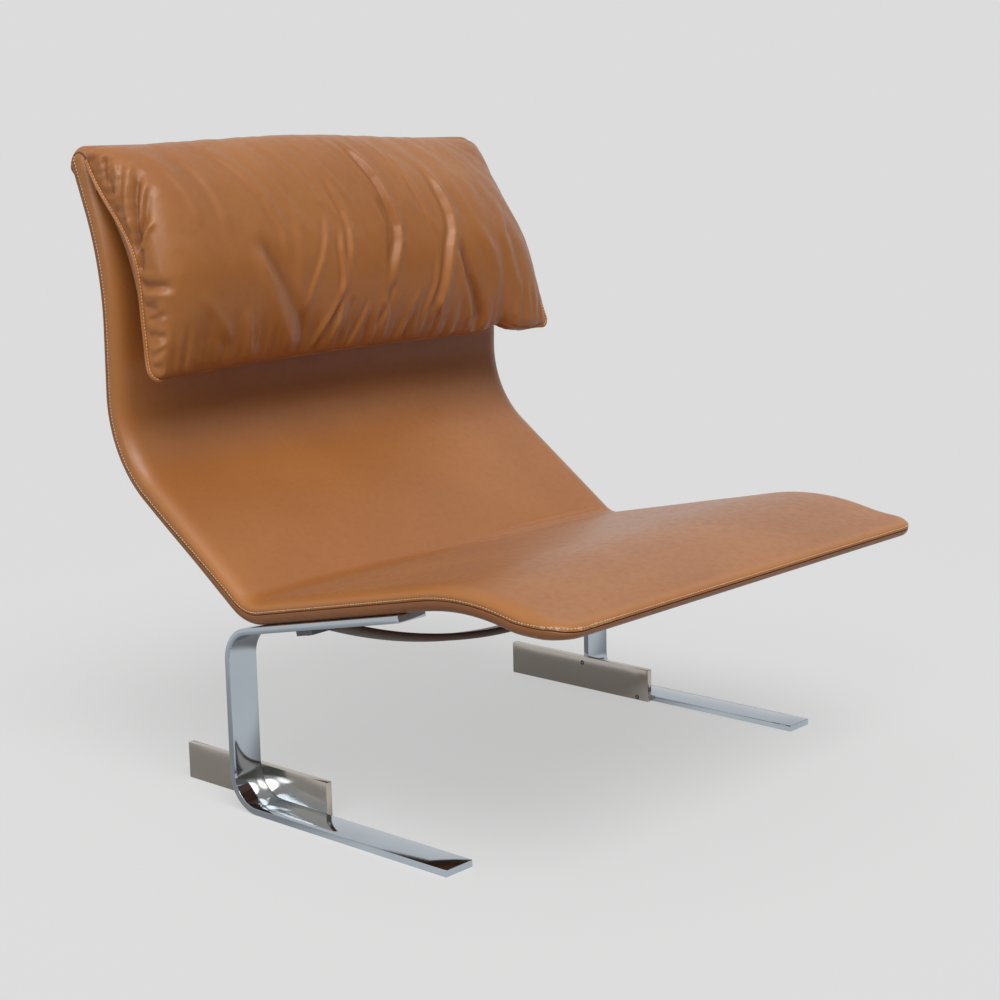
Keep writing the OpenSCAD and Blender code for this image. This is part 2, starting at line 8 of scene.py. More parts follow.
import bmesh
import bpy
import numpy as np
from bpy.props import FloatProperty, FloatVectorProperty, PointerProperty
from mathutils import Matrix, Vector, noise


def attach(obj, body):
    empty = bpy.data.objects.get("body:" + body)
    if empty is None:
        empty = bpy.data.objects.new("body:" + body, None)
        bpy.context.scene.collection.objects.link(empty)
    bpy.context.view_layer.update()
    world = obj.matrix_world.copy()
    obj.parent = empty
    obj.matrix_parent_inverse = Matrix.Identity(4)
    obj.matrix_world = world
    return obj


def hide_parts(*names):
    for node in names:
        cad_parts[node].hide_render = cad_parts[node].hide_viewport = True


bl_info = {
    "name": "Cantilever lounge chair",
    "version": (1, 0, 0),
    "blender": (4, 5, 0),
    "location": "View3D > Sidebar > Chair",
    "description": "Builds the leather, steel and studio of a cantilever lounge chair",
    "category": "Object",
}

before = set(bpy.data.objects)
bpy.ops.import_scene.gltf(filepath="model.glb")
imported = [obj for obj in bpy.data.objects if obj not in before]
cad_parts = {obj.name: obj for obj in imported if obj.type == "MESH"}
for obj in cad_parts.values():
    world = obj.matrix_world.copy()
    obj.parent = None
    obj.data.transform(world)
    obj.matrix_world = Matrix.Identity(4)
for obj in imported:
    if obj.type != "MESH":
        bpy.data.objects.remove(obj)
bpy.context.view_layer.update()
MM = 0.001
CHAIR_SIDES = ((-1, "right"), (1, "left"))


# ---------------------------------------------------------------- properties


def linear(code):
    """An sRGB hex colour as three linear values."""
    shares = [int(code[i : i + 2], 16) / 255 for i in (1, 3, 5)]
    return tuple(v / 12.92 if v <= 0.04045 else ((v + 0.055) / 1.055) ** 2.4 for v in shares)


def colour_prop(label, about, code):
    return FloatVectorProperty(
        name=label, description=about, subtype="COLOR", size=3, min=0, max=1, default=linear(code)
    )


def length_prop(label, about, size_mm):
    return FloatProperty(
        name=label, description=about, default=size_mm * MM, min=0, unit="LENGTH", precision=4
    )


def share_prop(label, about, value):
    return FloatProperty(name=label, description=about, default=value, min=0, max=1, subtype="FACTOR")


def strength_prop(label, about, value):
    return FloatProperty(name=label, description=about, default=value, min=0)


class LeatherSettings(bpy.types.PropertyGroup):
    mid: colour_prop("Leather", "Colour of the saddle leather where it is plain", "#a06330")
    # This colour also paints highlights on the ridges of the cushion's folds
    light: colour_prop("Rubbed leather", "Colour where the leather is stretched or rubbed", "#b5763c")
    # This colour is partly the leather's own darker blots, and partly painted shade in the fold valleys,
    # the stitch groove and the seam
    deep: colour_prop("Deep leather", "Colour in folds and where wax has gathered", "#74431f")
    worn: colour_prop("Worn edge", "Colour of the bare fibre on worn corners", "#d9c3a0")
    thread: colour_prop("Thread", "Colour of the waxed thread", "#edcaa0")
    # This darker copy of the leather is painted shade for the back and the underside, which lie away from
    # the lamps
    back: colour_prop("Back leather", "Colour of the leather on the back and the underside", "#8a5730")
    # This darker copy of the leather is painted shade for the stretcher's place under the seat
    sleeve: colour_prop("Sleeve leather", "Colour of the leather on the stretcher", "#5a3f2c")
    thickness: length_prop("Leather thickness", "Thickness of the shell's leather", 1.8)
    stitch_length: length_prop("Stitch length", "Length of one stitch", 3.0)
    stitch_pitch: length_prop("Stitch pitch", "Distance from one stitch to the next", 4.2)
    stitch_in: length_prop("Stitch distance", "Distance of the stitching from the seam", 3.6)
    thread_width: length_prop("Thread width", "Diameter of the thread", 1.1)
    crease_depth: length_prop("Crease depth", "Depth of the creases in the bend of the seat", 0.8)


class CushionSettings(bpy.types.PropertyGroup):
    voxel: length_prop("Voxel", "Cell size of the remeshed cushion", 4.0)
    swell: length_prop("Most swelling", "Furthest that the simulation may move a point", 7.0)
    pressure: strength_prop("Pressure", "Pressure of the filling in the simulation", 4)
    fill: share_prop("Fill", "How tightly the cushion is stuffed", 0.6)


class SteelSettings(bpy.types.PropertyGroup):
    # This colour is the steel's own grey, with a cool blue tint that is a painted reflection of a blue sky
    bright: colour_prop("Polished steel", "Colour of the polished bars", "#bdc6cf")
    # This colour is the steel's own grey, with a warm tint that is a painted reflection of the brown
    # leather and floor round the plates
    plate: colour_prop("Plate steel", "Colour of the brushed plates", "#c5beb4")
    screw: colour_prop("Screw steel", "Colour of the screws", "#5c5c5c")
    edge: length_prop("Edge rounding", "Radius of the eased edges of the bars", 0.7)


class StudioSettings(bpy.types.PropertyGroup):
    backdrop: colour_prop("Backdrop", "Colour of the floor and the backdrop", "#dcdcdc")
    lens: FloatProperty(name="Lens", description="Focal length of the camera", default=70.72, unit="CAMERA")
    daylight: share_prop("Daylight", "Strength of the even light from all sides", 0.24)
    lamp: strength_prop("Lamp", "Strength of the soft lamp", 1.85)
    side_lamp: strength_prop("Side lamp", "Strength of the lamp at the front's right", 0.75)
    # The dark wall glows only in reflections: a painted reflection of a dark side of the studio
    dark_wall: colour_prop("Dark wall", "Tone of the dark side of the studio in the steel", "#6b6a66")
    floor_gain: strength_prop("Floor gain", "Lifts the floor to the backdrop's tone", 1.12)
    floor_fade: share_prop("Floor fade", "How far the chair's shadow on the floor is faded", 0.68)


class ChairSettings(bpy.types.PropertyGroup):
    leather: PointerProperty(name="Leather", description="Leather and thread", type=LeatherSettings)
    cushion: PointerProperty(name="Cushion", description="Headrest cushion", type=CushionSettings)
    steel: PointerProperty(name="Steel", description="Bars and screws", type=SteelSettings)
    studio: PointerProperty(name="Studio", description="Floor, light and camera", type=StudioSettings)


def settings():
    return bpy.context.scene.chair_settings


# ------------------------------------------------------------------- numbers


def clamp01(v):
    return np.clip(v, 0, 1)


def smooth(v):
    v = clamp01(v)
    return v * v * (3 - 2 * v)


def unit(vectors):
    return vectors / np.linalg.norm(vectors, axis=-1, keepdims=True)


def table(*columns):
    """Rows from columns, each of them an array or one number."""
    return np.stack(np.broadcast_arrays(*columns), -1)


def noise_at(first, second, third):
    """Smooth noise, from about -1 to 1, at each pair of numbers."""
    return np.array([noise.noise((p, q, third)) for p, q in zip(*np.broadcast_arrays(first, second))])


def eased(low, high, count):
    """Numbers from low to high that lie closer together at both ends."""
    return low + (high - low) * (1 + np.sin(np.pi / 2 * np.linspace(-1, 1, count))) / 2


# -------------------------------------------------------------------- meshes


def piece(name, points, faces, material, body="chair"):
    """A smooth mesh object that rides on a body. Points are in millimetres."""
    mesh = bpy.data.meshes.new(name)
    mesh.from_pydata((np.asarray(points, float) * MM).tolist(), [], [list(map(int, f)) for f in faces])
    mesh.materials.append(material)
    made = bpy.data.objects.new(name, mesh)
    bpy.context.scene.collection.objects.link(made)
    mesh.shade_smooth()
    if body:
        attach(made, body)
    return made


def grid_faces(rows, columns, wrap=False, first=0, flip=False):
    """Quads of a grid of points that is stored row by row. wrap joins the last column to the first."""
    last = columns if wrap else columns - 1
    j, i = np.meshgrid(np.arange(rows - 1), np.arange(last), indexing="ij")
    k = (i + 1) % columns
    quads = np.stack([j * columns + i, j * columns + k, (j + 1) * columns + k, (j + 1) * columns + i], -1)
    quads = quads.reshape(-1, 4) + first
    return quads[:, ::-1] if flip else quads


def tube_faces(rings, sides):
    """Faces of a tube of rings of points, with both its ends closed."""
    first = list(range(sides))
    caps = [first[::-1], [(rings - 1) * sides + k for k in first]]
    return grid_faces(rings, sides, wrap=True).tolist() + caps


def joined(parts):
    """The points and faces of several parts as those of one."""
    points, faces, first = [], [], 0
    for p, f in parts:
        points.append(p)
        faces += [[v + first for v in face] for face in f]
        first += len(p)
    return np.concatenate(points), faces


def vertices(made):
    return np.array([v.co for v in made.data.vertices])


def place_vertices(made, places):
    made.data.vertices.foreach_set("co", places.astype(np.float32).ravel())
    made.data.update()


def normals(made):
    return np.array([n.vector for n in made.data.vertex_normals])


def attribute(made, name, values):
    """Stores one number for each point, which the materials read."""
    layer = made.data.attributes.new(name, "FLOAT", "POINT")
    layer.data.foreach_set("value", np.asarray(values, np.float32))


def modifier(made, kind, **options):
    added = made.modifiers.new(kind.title(), kind)
    for name, value in options.items():
        setattr(added, name, value)


def thicken(made, thickness):
    """Gives a sheet its thickness, on the inner side."""
    modifier(made, "SOLIDIFY", thickness=thickness, offset=-1.0)


def apply_modifiers(made):
    """Replaces the mesh by what its modifiers make of it."""
    graph = bpy.context.evaluated_depsgraph_get()
    done = bpy.data.meshes.new_from_object(made.evaluated_get(graph))
    made.modifiers.clear()
    made.data = done


def fix_normals(made):
    """Turns all faces outwards."""
    work = bmesh.new()
    work.from_mesh(made.data)
    bmesh.ops.recalc_face_normals(work, faces=work.faces)
    work.to_mesh(made.data)
    work.free()


def finish_metal(made, angle=40):
    """Turns all faces outwards, keeps flat faces flat and bends smooth."""
    fix_normals(made)
    made.data.set_sharp_from_angle(angle=math.radians(angle))


# ----------------------------------------------------------------- materials


def feed(tree, made, inputs):
    """Sets the inputs of a shader node, each to a value or a link."""
    for socket, value in inputs.items():
        target = made.inputs[socket]
        if isinstance(value, bpy.types.NodeSocket):
            tree.links.new(value, target)
        elif target.type == "RGBA" and len(value) == 3:
            target.default_value = (*value, 1)
        else:
            target.default_value = value


def node(tree, kind, inputs=None, **options):
    """Adds a shader node with its settings and its inputs."""
    made = tree.nodes.new("ShaderNode" + kind)
    for name, value in options.items():
        setattr(made, name, value)
    feed(tree, made, inputs or {})
    return made


def new_material(name):
    """An empty material with a Principled shader, as (material, tree, shader, object coordinates)."""
    made = bpy.data.materials.new(name)
    made.use_nodes = True
    tree = made.node_tree
    where = node(tree, "TexCoord").outputs["Object"]
    return made, tree, tree.nodes["Principled BSDF"], where


def blend_colours(tree, factor, first, second):
    return node(tree, "Mix", {"Factor": factor, 6: first, 7: second}, data_type="RGBA").outputs[2]


def blend_shaders(tree, factor, first, second):
    return node(tree, "MixShader", {0: factor, 1: first.outputs[0], 2: second.outputs[0]}).outputs[0]


def combined(tree, operation, first, second):
    return node(tree, "Math", {0: first, 1: second}, operation=operation).outputs[0]


def between(tree, value, low, high, out_low=0.0, out_high=1.0):
    """A smooth step of a value from one range to another."""
    inputs = {"Value": value, "From Min": low, "From Max": high, "To Min": out_low, "To Max": out_high}
    return node(tree, "MapRange", inputs, interpolation_type="SMOOTHSTEP").outputs["Result"]


def texture(tree, kind, where, size_mm, output="Fac", inputs=None, **options):
    """A texture whose cells or blots have about a size."""
    inputs = {"Vector": where, "Scale": 1 / (size_mm * MM), **(inputs or {})}
    return node(tree, kind, inputs, **options).outputs[output]


def clouds(tree, where, size_mm, detail, rough=0.5):
    return texture(tree, "TexNoise", where, size_mm, inputs={"Detail": detail, "Roughness": rough})


def stored(tree, name):
    """The number that the mesh holds at each point."""
    return node(tree, "Attribute", attribute_name=name).outputs["Fac"]


def bumped(tree, height, strength, depth_mm, **below):
    """A normal with a relief on it, and perhaps on another relief."""
    inputs = {"Height": height, "Strength": strength, "Distance": depth_mm * MM, **below}
    return node(tree, "Bump", inputs).outputs["Normal"]


def leather_material(name, mid, light, deep, rough=0.36, coat=0.08):
    # Vegetable-tanned saddle leather, waxed and polished by use. It shows a soft satin gloss with
    # a pale sheen at grazing angles, slightly cloudy tone, a fine grain and worn, paler edges. Its colour
    # also holds painted shade in folds, stitch grooves and seams, and painted highlights on fold ridges.
    made, tree, shader, where = new_material(name)
    mottle = clouds(tree, where, 9, 4.0, 0.55)
    chips = between(tree, clouds(tree, where, 5, 5.0, 0.65), 0.46, 0.62)
    base = mid
    for share, colour in (
        (between(tree, clouds(tree, where, 200, 3.0), 0.35, 0.75, 0.0, 0.45), light),
        (between(tree, mottle, 0.45, 0.8, 0.0, 0.12), deep),
        # Worn edges, and painted highlight on the cushion's fold ridges
        (stored(tree, "rub_and_highlight"), light),
        # Painted shade in the stitch groove, the seam and the cushion's fold valleys
        (stored(tree, "sunk"), deep),
        (combined(tree, "MULTIPLY", stored(tree, "bare"), chips), settings().leather.worn),
    ):
        base = blend_colours(tree, share, base, colour)
    # The grain is about 1 mm wide on the real hide, and is drawn at 2 mm so that it shows
    grain = texture(tree, "TexVoronoi", where, 2, "Distance", feature="SMOOTH_F1")
    pores = bumped(tree, grain, 0.06, 0.25)
    feed(tree, shader, {
        "Base Color": base,
        "Roughness": between(tree, mottle, 0.3, 0.7, rough, rough + 0.1),
        "Coat Weight": coat,
        "Coat Roughness": 0.25,
        "Sheen Weight": 0.1,
        "Sheen Roughness": 0.35,
        "Specular IOR Level": 0.45,
        "Normal": bumped(tree, clouds(tree, where, 40, 2.0), 0.2, 2, Normal=pores),
    })
    return made


def thread_material():
    # Waxed linen thread. It is twisted, so it shows fine slanting ridges and a dull gloss.
    made, tree, shader, where = new_material("waxed_linen_thread")
    look = settings().leather
    twist = texture(tree, "TexWave", where, 3, inputs={"Distortion": 2.0}, bands_direction="DIAGONAL")
    ridge = between(tree, twist, 0.0, 1.0, 0.0, 0.3)
    feed(tree, shader, {
        "Base Color": blend_colours(tree, ridge, look.thread, look.mid),
        "Roughness": 0.6,
        "Normal": bumped(tree, twist, 0.4, 0.1),
    })
    return made


def steel_material(name, colour, rough, brushed, grain_mm, stretch):
    # Flat steel bar, ground and then polished. A mirror finish keeps faint lines and dull clouds
    # of handling, and a brushed one shows fine parallel lines along the bar.
    made, tree, shader, where = new_material(name)
    lines = node(tree, "Mapping", {"Vector": where, "Scale": stretch}).outputs["Vector"]
    streak = clouds(tree, lines, grain_mm, 4.0)
    dull = between(tree, clouds(tree, where, 60, 3.0), 0.3, 0.7, 0.0, 0.25)
    feed(tree, shader, {
        "Base Color": blend_colours(tree, dull, colour, tuple(0.8 * c for c in colour)),
        "Metallic": 1.0,
        "Roughness": between(tree, streak, 0.3, 0.7, rough, rough * 1.6),
        "Normal": bumped(tree, streak, brushed, 0.05),
    })
    return made


def plain_material(name, first, second, size_mm, rough, bump_mm, metallic=0.0, kind="TexNoise"):
    # Inner materials that are hardly seen: two tones of the same stuff, in its own grain
    made, tree, shader, where = new_material(name)
    grain = texture(tree, kind, where, size_mm)
    feed(tree, shader, {
        "Base Color": blend_colours(tree, grain, linear(first), linear(second)),
        "Metallic": metallic,
        "Roughness": rough,
        "Normal": bumped(tree, grain, 0.5, bump_mm),
    })
    return made


# --------------------------------------------------------------------- shell

HALF_T, HALF_W = 16.0, 353.0
NOSE_R, HEAD_CORNER_R = 35.0, 15.0
NOSE_TOP = 13
GAP = 0.3
LEATHER_T = 1.8
HEAD_R, BACK_R, SEAT_R, CREST_R = 400, 140, 50, 300
HEAD_LEAN = 21
SEAT_RISE = 12
ARM_H, POST_BACK = 224, 33


def arc(radius, turn):
    """A bend of the shell, as its length in mm and its turn in degrees."""
    return radius * math.radians(abs(turn)), turn


# The shell's middle surface from the head to the nose: straight parts, and the bends between them
STRETCHES = np.array([
    (58, 0), arc(HEAD_R, -22.5), (79, 0), arc(BACK_R, 55.5), (197, 0),
    arc(SEAT_R, 48), (273, 0), arc(CREST_R, -24), (84, 0),
])
RAMP, SEAT_BEND, SEAT = 4, 5, 6
BEGINS = np.concatenate([[0], np.cumsum(STRETCHES[:, 0])])
LEANS = HEAD_LEAN + np.concatenate([[0], np.cumsum(STRETCHES[:, 1])])
PATH = BEGINS[-1]


def chord(run, turn, lean):
    """The straight way across part of an arc, in (y, z)."""
    half = np.radians(turn / 2)
    straight = np.abs(half) < 1e-9
    share = np.where(straight, 1, np.sin(half) / np.where(straight, 1, half))
    a = np.radians(lean) + half
    return -run * share * np.sin(a), -run * share * np.cos(a)


CORNERS = np.zeros((len(BEGINS), 2))
for n, (run, turn) in enumerate(STRETCHES):
    CORNERS[n + 1] = CORNERS[n] + chord(run, turn, LEANS[n])

# The shell's place: centred from front to back, with the seat's underside on the arms
RISE = math.radians(SEAT_RISE)
FLAP_OUT = HALF_T + GAP + LEATHER_T
nose_tip = CORNERS[-1][0] - NOSE_TOP * math.cos(math.radians(LEANS[-1]))
ramp_lean = math.radians(LEANS[RAMP])
to_bend = SEAT_R * math.tan(math.radians(STRETCHES[SEAT_BEND, 1] / 2))
bend_low = CORNERS[SEAT_BEND] - to_bend * np.array([math.sin(ramp_lean), math.cos(ramp_lean)])
SHELL_Y = -(FLAP_OUT + nose_tip) / 2
SHELL_Z = ARM_H + POST_BACK * math.tan(RISE) + (HALF_T + GAP) / math.cos(RISE) - bend_low[1]
POST_Y = bend_low[0] + SHELL_Y + POST_BACK


def on_shell(x, s, d):
    """Points in space from x, the way s along the middle surface and the height d above it."""
    s = np.asarray(s, float)
    i = np.clip(np.searchsorted(BEGINS, s, side="left") - 1, 0, len(STRETCHES) - 1)
    run = s - BEGINS[i]
    turn = STRETCHES[i, 1] * run / STRETCHES[i, 0]
    dy, dz = chord(run, turn, LEANS[i])
    lean = np.radians(LEANS[i] + turn)
    y = SHELL_Y + CORNERS[i, 0] + dy - d * np.cos(lean)
    return table(x, y, SHELL_Z + CORNERS[i, 1] + dz + d * np.sin(lean))


def top_at(s):
    """Height of the front face above the middle surface. It thins out over the last 52 mm."""
    return HALF_T - (HALF_T - NOSE_TOP) * clamp01(1 - (PATH - s) / 52) ** 2


def bottom_at(s):
    """Height of the rear face, which rises by 15 mm over the last 70 mm."""
    return -HALF_T + 15 * clamp01(1 - (PATH - s) / 70) ** 1.3


SEAM_LOW, SEAM_HIGH = 7, 13


def seam_at(s):
    """Height of the seam in the side. It rises along the ramp, from near the back to the middle."""
    along_ramp = (s - BEGINS[RAMP]) / (BEGINS[RAMP + 1] - BEGINS[RAMP])
    rise = SEAM_LOW + (SEAM_HIGH - SEAM_LOW) * smooth(along_ramp)
    return bottom_at(s) + np.minimum(rise, 0.6 * (top_at(s) - bottom_at(s)))


# A skin has a grid on an inner rectangle, this far inside the shell's edge, and rings round it
INSET = 35.0
# The middle surface begins at 0, and the shell's half round goes on beyond it
HEAD_END = -HALF_T
# Radii of the round edge between the side and the face
FRONT_EDGE_R, REAR_EDGE_R = 14.0, 9.0
# How far in from the edge the last of the wider rings lies, where the edge isn't spread
FACE_IN = 17.0
# Ways from the seam of the rings that are close together, and the number of wider ones
CLOSE = np.array([0, 0.4, 0.8, 1.4, 2.2, 2.9, 3.3, 3.6, 3.9, 4.3, 5, 6.5, 8])
WIDE_RINGS = 9
CORNER_STEPS = 9
# Rows of the grid at the head, in the bend and on the seat, and its columns
ROWS, COLUMNS = (108, 56, 56), 65
# Ring number of the points of the grid
INNER_RING = 99


def skin_rows():
    """Ways along the shell of the grid's rows, close together where the seat's bend creases."""
    low, high = BEGINS[SEAT_BEND] - 25, BEGINS[SEAT] + 45
    head = np.linspace(HEAD_END + INSET, low, ROWS[0])
    bend = np.linspace(low, high, ROWS[1])[1:]
    seat = np.linspace(high, PATH - INSET, ROWS[2])[1:]
    return np.concatenate([head, bend, seat])


def skin_outline(rows, columns):
    """The edge of the shell seen in plan, as stations once round.

    Each has its place (s, x), its way inwards (s, x), its place (s, x) on the inner rectangle, and
    its share of the head's half round."""
    first, last, half = rows[0], rows[-1], columns[-1]
    # Near the head, the ends of rows and columns spread out to where the corners begin
    spread_s, spread_x = first + 60, half - 38
    side_end, head_end = HEAD_END + HEAD_CORNER_R, HALF_W - HEAD_CORNER_R
    near = (spread_s - side_end) / (spread_s - first)
    row_ends = np.where(rows > spread_s, rows, spread_s - (spread_s - rows) * near)
    wide = spread_x + (np.abs(columns) - spread_x) * (head_end - spread_x) / (half - spread_x)
    column_ends = np.where(np.abs(columns) < spread_x, columns, np.copysign(wide, columns))
    turns = np.radians(np.linspace(0, 90, CORNER_STEPS + 2)[1:-1])
    sin, cos = np.sin(turns), np.cos(turns)

    def side(way):
        return table(row_ends, way * HALF_W, 0, -way, rows, way * half, 0)

    def nose_corner(way):
        s, x = PATH - NOSE_R + NOSE_R * sin, half + NOSE_R * cos
        return table(s, way * x, -sin, -way * cos, last, way * half, 0)

    def head_corner(way):
        s, x = side_end - HEAD_CORNER_R * sin, head_end + HEAD_CORNER_R * cos
        return table(s, way * x, sin, -way * cos, first, way * half, np.degrees(turns) / 90)

    nose = table(PATH, columns, -1, 0, last, columns, 0)
    head = table(HEAD_END, column_ends, 1, 0, first, columns, 1)
    return np.concatenate([
        side(-1), nose_corner(-1), nose, nose_corner(1)[::-1],
        side(1)[::-1], head_corner(1), head[::-1], head_corner(-1)[::-1],
    ])


def skin_profile(ways, wall, radius, spread):
    """Section of the skin from its seam over the side to its face, as (in from the edge, below the
    face, angle of the surface). A way is measured from the seam along a round edge, which is then
    spread inwards."""
    quarter = radius * math.pi / 2
    a = np.clip((ways - wall) / radius, 0, math.pi / 2)
    inwards = spread * radius * (1 - np.cos(a)) + np.maximum(ways - wall - quarter, 0)
    below = np.maximum(wall - ways, 0) + radius * (1 - np.sin(a))
    return inwards, below, a


def skin(
    name, side, radius, material, seam_gap=0.0, roll=1.0, groove=0.0, spread=1.0, crown=0.0, relief=None
):
    """One leather skin of the shell, front (side 1) or rear (side -1), as an open sheet of grid and
    border that is rolled in at its seam. Returns it, the number of points in a ring of the border,
    and each point's s, x, height, ring number and way in from the edge."""
    columns = np.linspace(-HALF_W + INSET, HALF_W - INSET, COLUMNS)
    rows = skin_rows()
    s0, x0, ns, nx, si, xi, head = skin_outline(rows, columns).T
    around, across = len(s0), len(columns)

    def face_at(s):
        return side * (top_at if side > 0 else bottom_at)(np.minimum(s, PATH))

    def seam_of(s):
        return side * (seam_at(np.minimum(s, PATH)) - seam_gap)

    # Along the sides the skin goes up a wall and round an edge, at the head round the half round
    tall = face_at(s0) - seam_of(s0)
    r = np.minimum(radius, 0.85 * tall)
    start = side * math.asin((SEAM_LOW - HALF_T - seam_gap) / HALF_T)
    half_round = (math.pi / 2 - start) * HALF_T
    far_side = tall - r + r * math.pi / 2 + FACE_IN - r
    far_head = half_round + FACE_IN - HALF_T
    stitch = settings().leather.stitch_in / MM
    # A station's points lie straight inwards up to here, and then on the way to the inner rectangle
    at_nose_corner = (np.abs(ns * nx) > 1e-6) & (head == 0)
    turn_in = np.where(at_nose_corner, INSET, HEAD_CORNER_R - 0.5)
    rings = []
    for k in range(len(CLOSE) + WIDE_RINGS):
        if k < len(CLOSE):
            at_side = at_head = CLOSE[k]
        else:
            t = (k - len(CLOSE) + 1) / WIDE_RINGS
            at_side, at_head = (CLOSE[-1] + (far - CLOSE[-1]) * t for far in (far_side, far_head))
        in_side, below_side, a_side = skin_profile(at_side, tall - r, r, spread)
        a_head = min(start + at_head / HALF_T, math.pi / 2)
        in_head = HALF_T * (1 - math.cos(a_head)) + max(at_head - half_round, 0)
        below_head = HALF_T * (1 - math.sin(a_head))
        dent = roll * clamp01(1 - at_side / 1.4) ** 2 + groove * np.exp(-(((at_side - stitch) / 0.6) ** 2))
        along_side = in_side + dent * np.cos(a_side), below_side + dent * np.sin(a_side)
        along_head = in_head + dent * math.cos(a_head), below_head + dent * math.sin(a_head)
        inwards, below = ((1 - head) * p + head * q for p, q in zip(along_side, along_head))
        straight = np.minimum(inwards, turn_in)
        s, x = s0 + ns * straight, x0 + nx * straight
        rest = clamp01((inwards - turn_in) / np.maximum(INSET - turn_in, 1e-3))
        s, x = s + (si - s) * rest, x + (xi - x) * rest
        rings.append(table(s, x, face_at(s) - below, k, inwards))
    count = len(rings)
    for t in (0.33, 0.67):
        on_way = s + (si - s) * t
        far_in = FACE_IN + (INSET - FACE_IN) * t
        rings.append(table(on_way, x + (xi - x) * t, face_at(on_way), count + t, far_in))

    grid_s, grid_x = np.meshgrid(rows, columns, indexing="ij")
    inner = table(grid_s, grid_x, face_at(grid_s), INNER_RING, INSET).reshape(-1, 5)
    points = np.concatenate([*rings, inner])
    # The last ring is joined to the grid's edge, where all stations of a corner share one point
    inner_first = len(rings) * around
    last_ring = inner_first - around
    inner_at = inner_first + np.searchsorted(rows, si) * across + np.searchsorted(columns, xi)
    faces = grid_faces(len(rings), around, wrap=True).tolist()
    for j in range(around):
        k = (j + 1) % around
        quad = [last_ring + j, last_ring + k, inner_at[k], inner_at[j]]
        faces.append(quad if inner_at[k] != inner_at[j] else quad[:3])
    faces += grid_faces(len(rows), across, first=inner_first, flip=True).tolist()
    if side < 0:
        faces = [f[::-1] for f in faces]

    s, x, height, _, inwards = points.T
    if relief:
        height = height + relief(x, s) * clamp01((inwards - 4) / 25)
    # The padding is crowned, so the face falls towards the sides
    seam = seam_of(s)
    fall = crown * (np.abs(x) / HALF_W) ** 5 * smooth(s / 60) * smooth((PATH - s) / 60)
    height = seam + (height - seam) * (1 - fall / (face_at(s) - seam))
    return piece(name, on_shell(x, s, side * height), faces, material), around, points


# Creases of the seat's bend: way from its middle, strength and slant
CREASES = (
    (-16, 0.5, -0.03), (-7, 1.0, -0.012), (2, 0.8, 0.004),
    (12, 1.0, 0.02), (23, 0.6, 0.04), (36, 0.35, 0.07),
)


def shell_relief(x, s):
    """Creases in the bend of the seat, and the slight unevenness of leather over foam, in mm."""
    bend = (BEGINS[SEAT_BEND] + BEGINS[SEAT]) / 2
    across = clamp01((x + 120) / 160) * clamp01((345 - x) / 50)
    creases = np.zeros_like(x)
    for k, (off, strength, slant) in enumerate(CREASES):
        centre = bend + off + slant * (x - 100) + 1.5 * np.sin(x / 37 + 1.7 * k)
        creases -= strength * np.exp(-(((s - centre) / 2.2) ** 2))
    depth = settings().leather.crease_depth / MM
    return depth * creases * across + 0.5 * noise_at(x / 90, s / 70, 3.1)


# One stitch, as rings of (way along in lengths, width and lift in radii of the thread)
STITCH = (
    (-0.5, 0.15, -0.7), (-0.42, 0.75, -0.1), (-0.2, 1, 0.25),
    (0.2, 1, 0.25), (0.42, 0.75, -0.1), (0.5, 0.15, -0.7),
)
THREAD_SIDES = 6


def stitch_run(points, ups, material, name, body, closed=True):
    """A row of short stitches along a line of points, all in one mesh."""
    look = settings().leather
    pitch, long, r = look.stitch_pitch / MM, look.stitch_length / MM, look.thread_width / MM / 2
    if closed:
        points, ups = np.vstack([points, points[:1]]), np.vstack([ups, ups[:1]])
    way = np.concatenate([[0], np.cumsum(np.linalg.norm(np.diff(points, axis=0), axis=1))])
    count = int(way[-1] / pitch)
    centres = (np.arange(count) + 0.5) * way[-1] / count

    def lookup(w, values):
        return table(*(np.interp(w, way, values[:, i]) for i in range(3)))

    mid = lookup(centres, points)
    ahead, behind = np.minimum(centres + long / 2, way[-1]), np.maximum(centres - long / 2, 0)
    along = unit(lookup(ahead, points) - lookup(behind, points))
    up = lookup(centres, ups)
    up = unit(up - (up * along).sum(1)[:, None] * along)
    across = np.cross(along, up)
    verts = []
    for shift, wide, lift in STITCH:
        for a in 2 * math.pi * np.arange(THREAD_SIDES) / THREAD_SIDES:
            side, high = r * wide * math.cos(a), r * (wide * math.sin(a) + lift)
            verts.append(mid + along * shift * long + across * side + up * high)
    local = tube_faces(len(STITCH), THREAD_SIDES)
    faces = [[v + i * len(verts) for v in f] for i in range(count) for f in local]
    return piece(name, np.stack(verts, 1).reshape(-1, 3), faces, material, body)


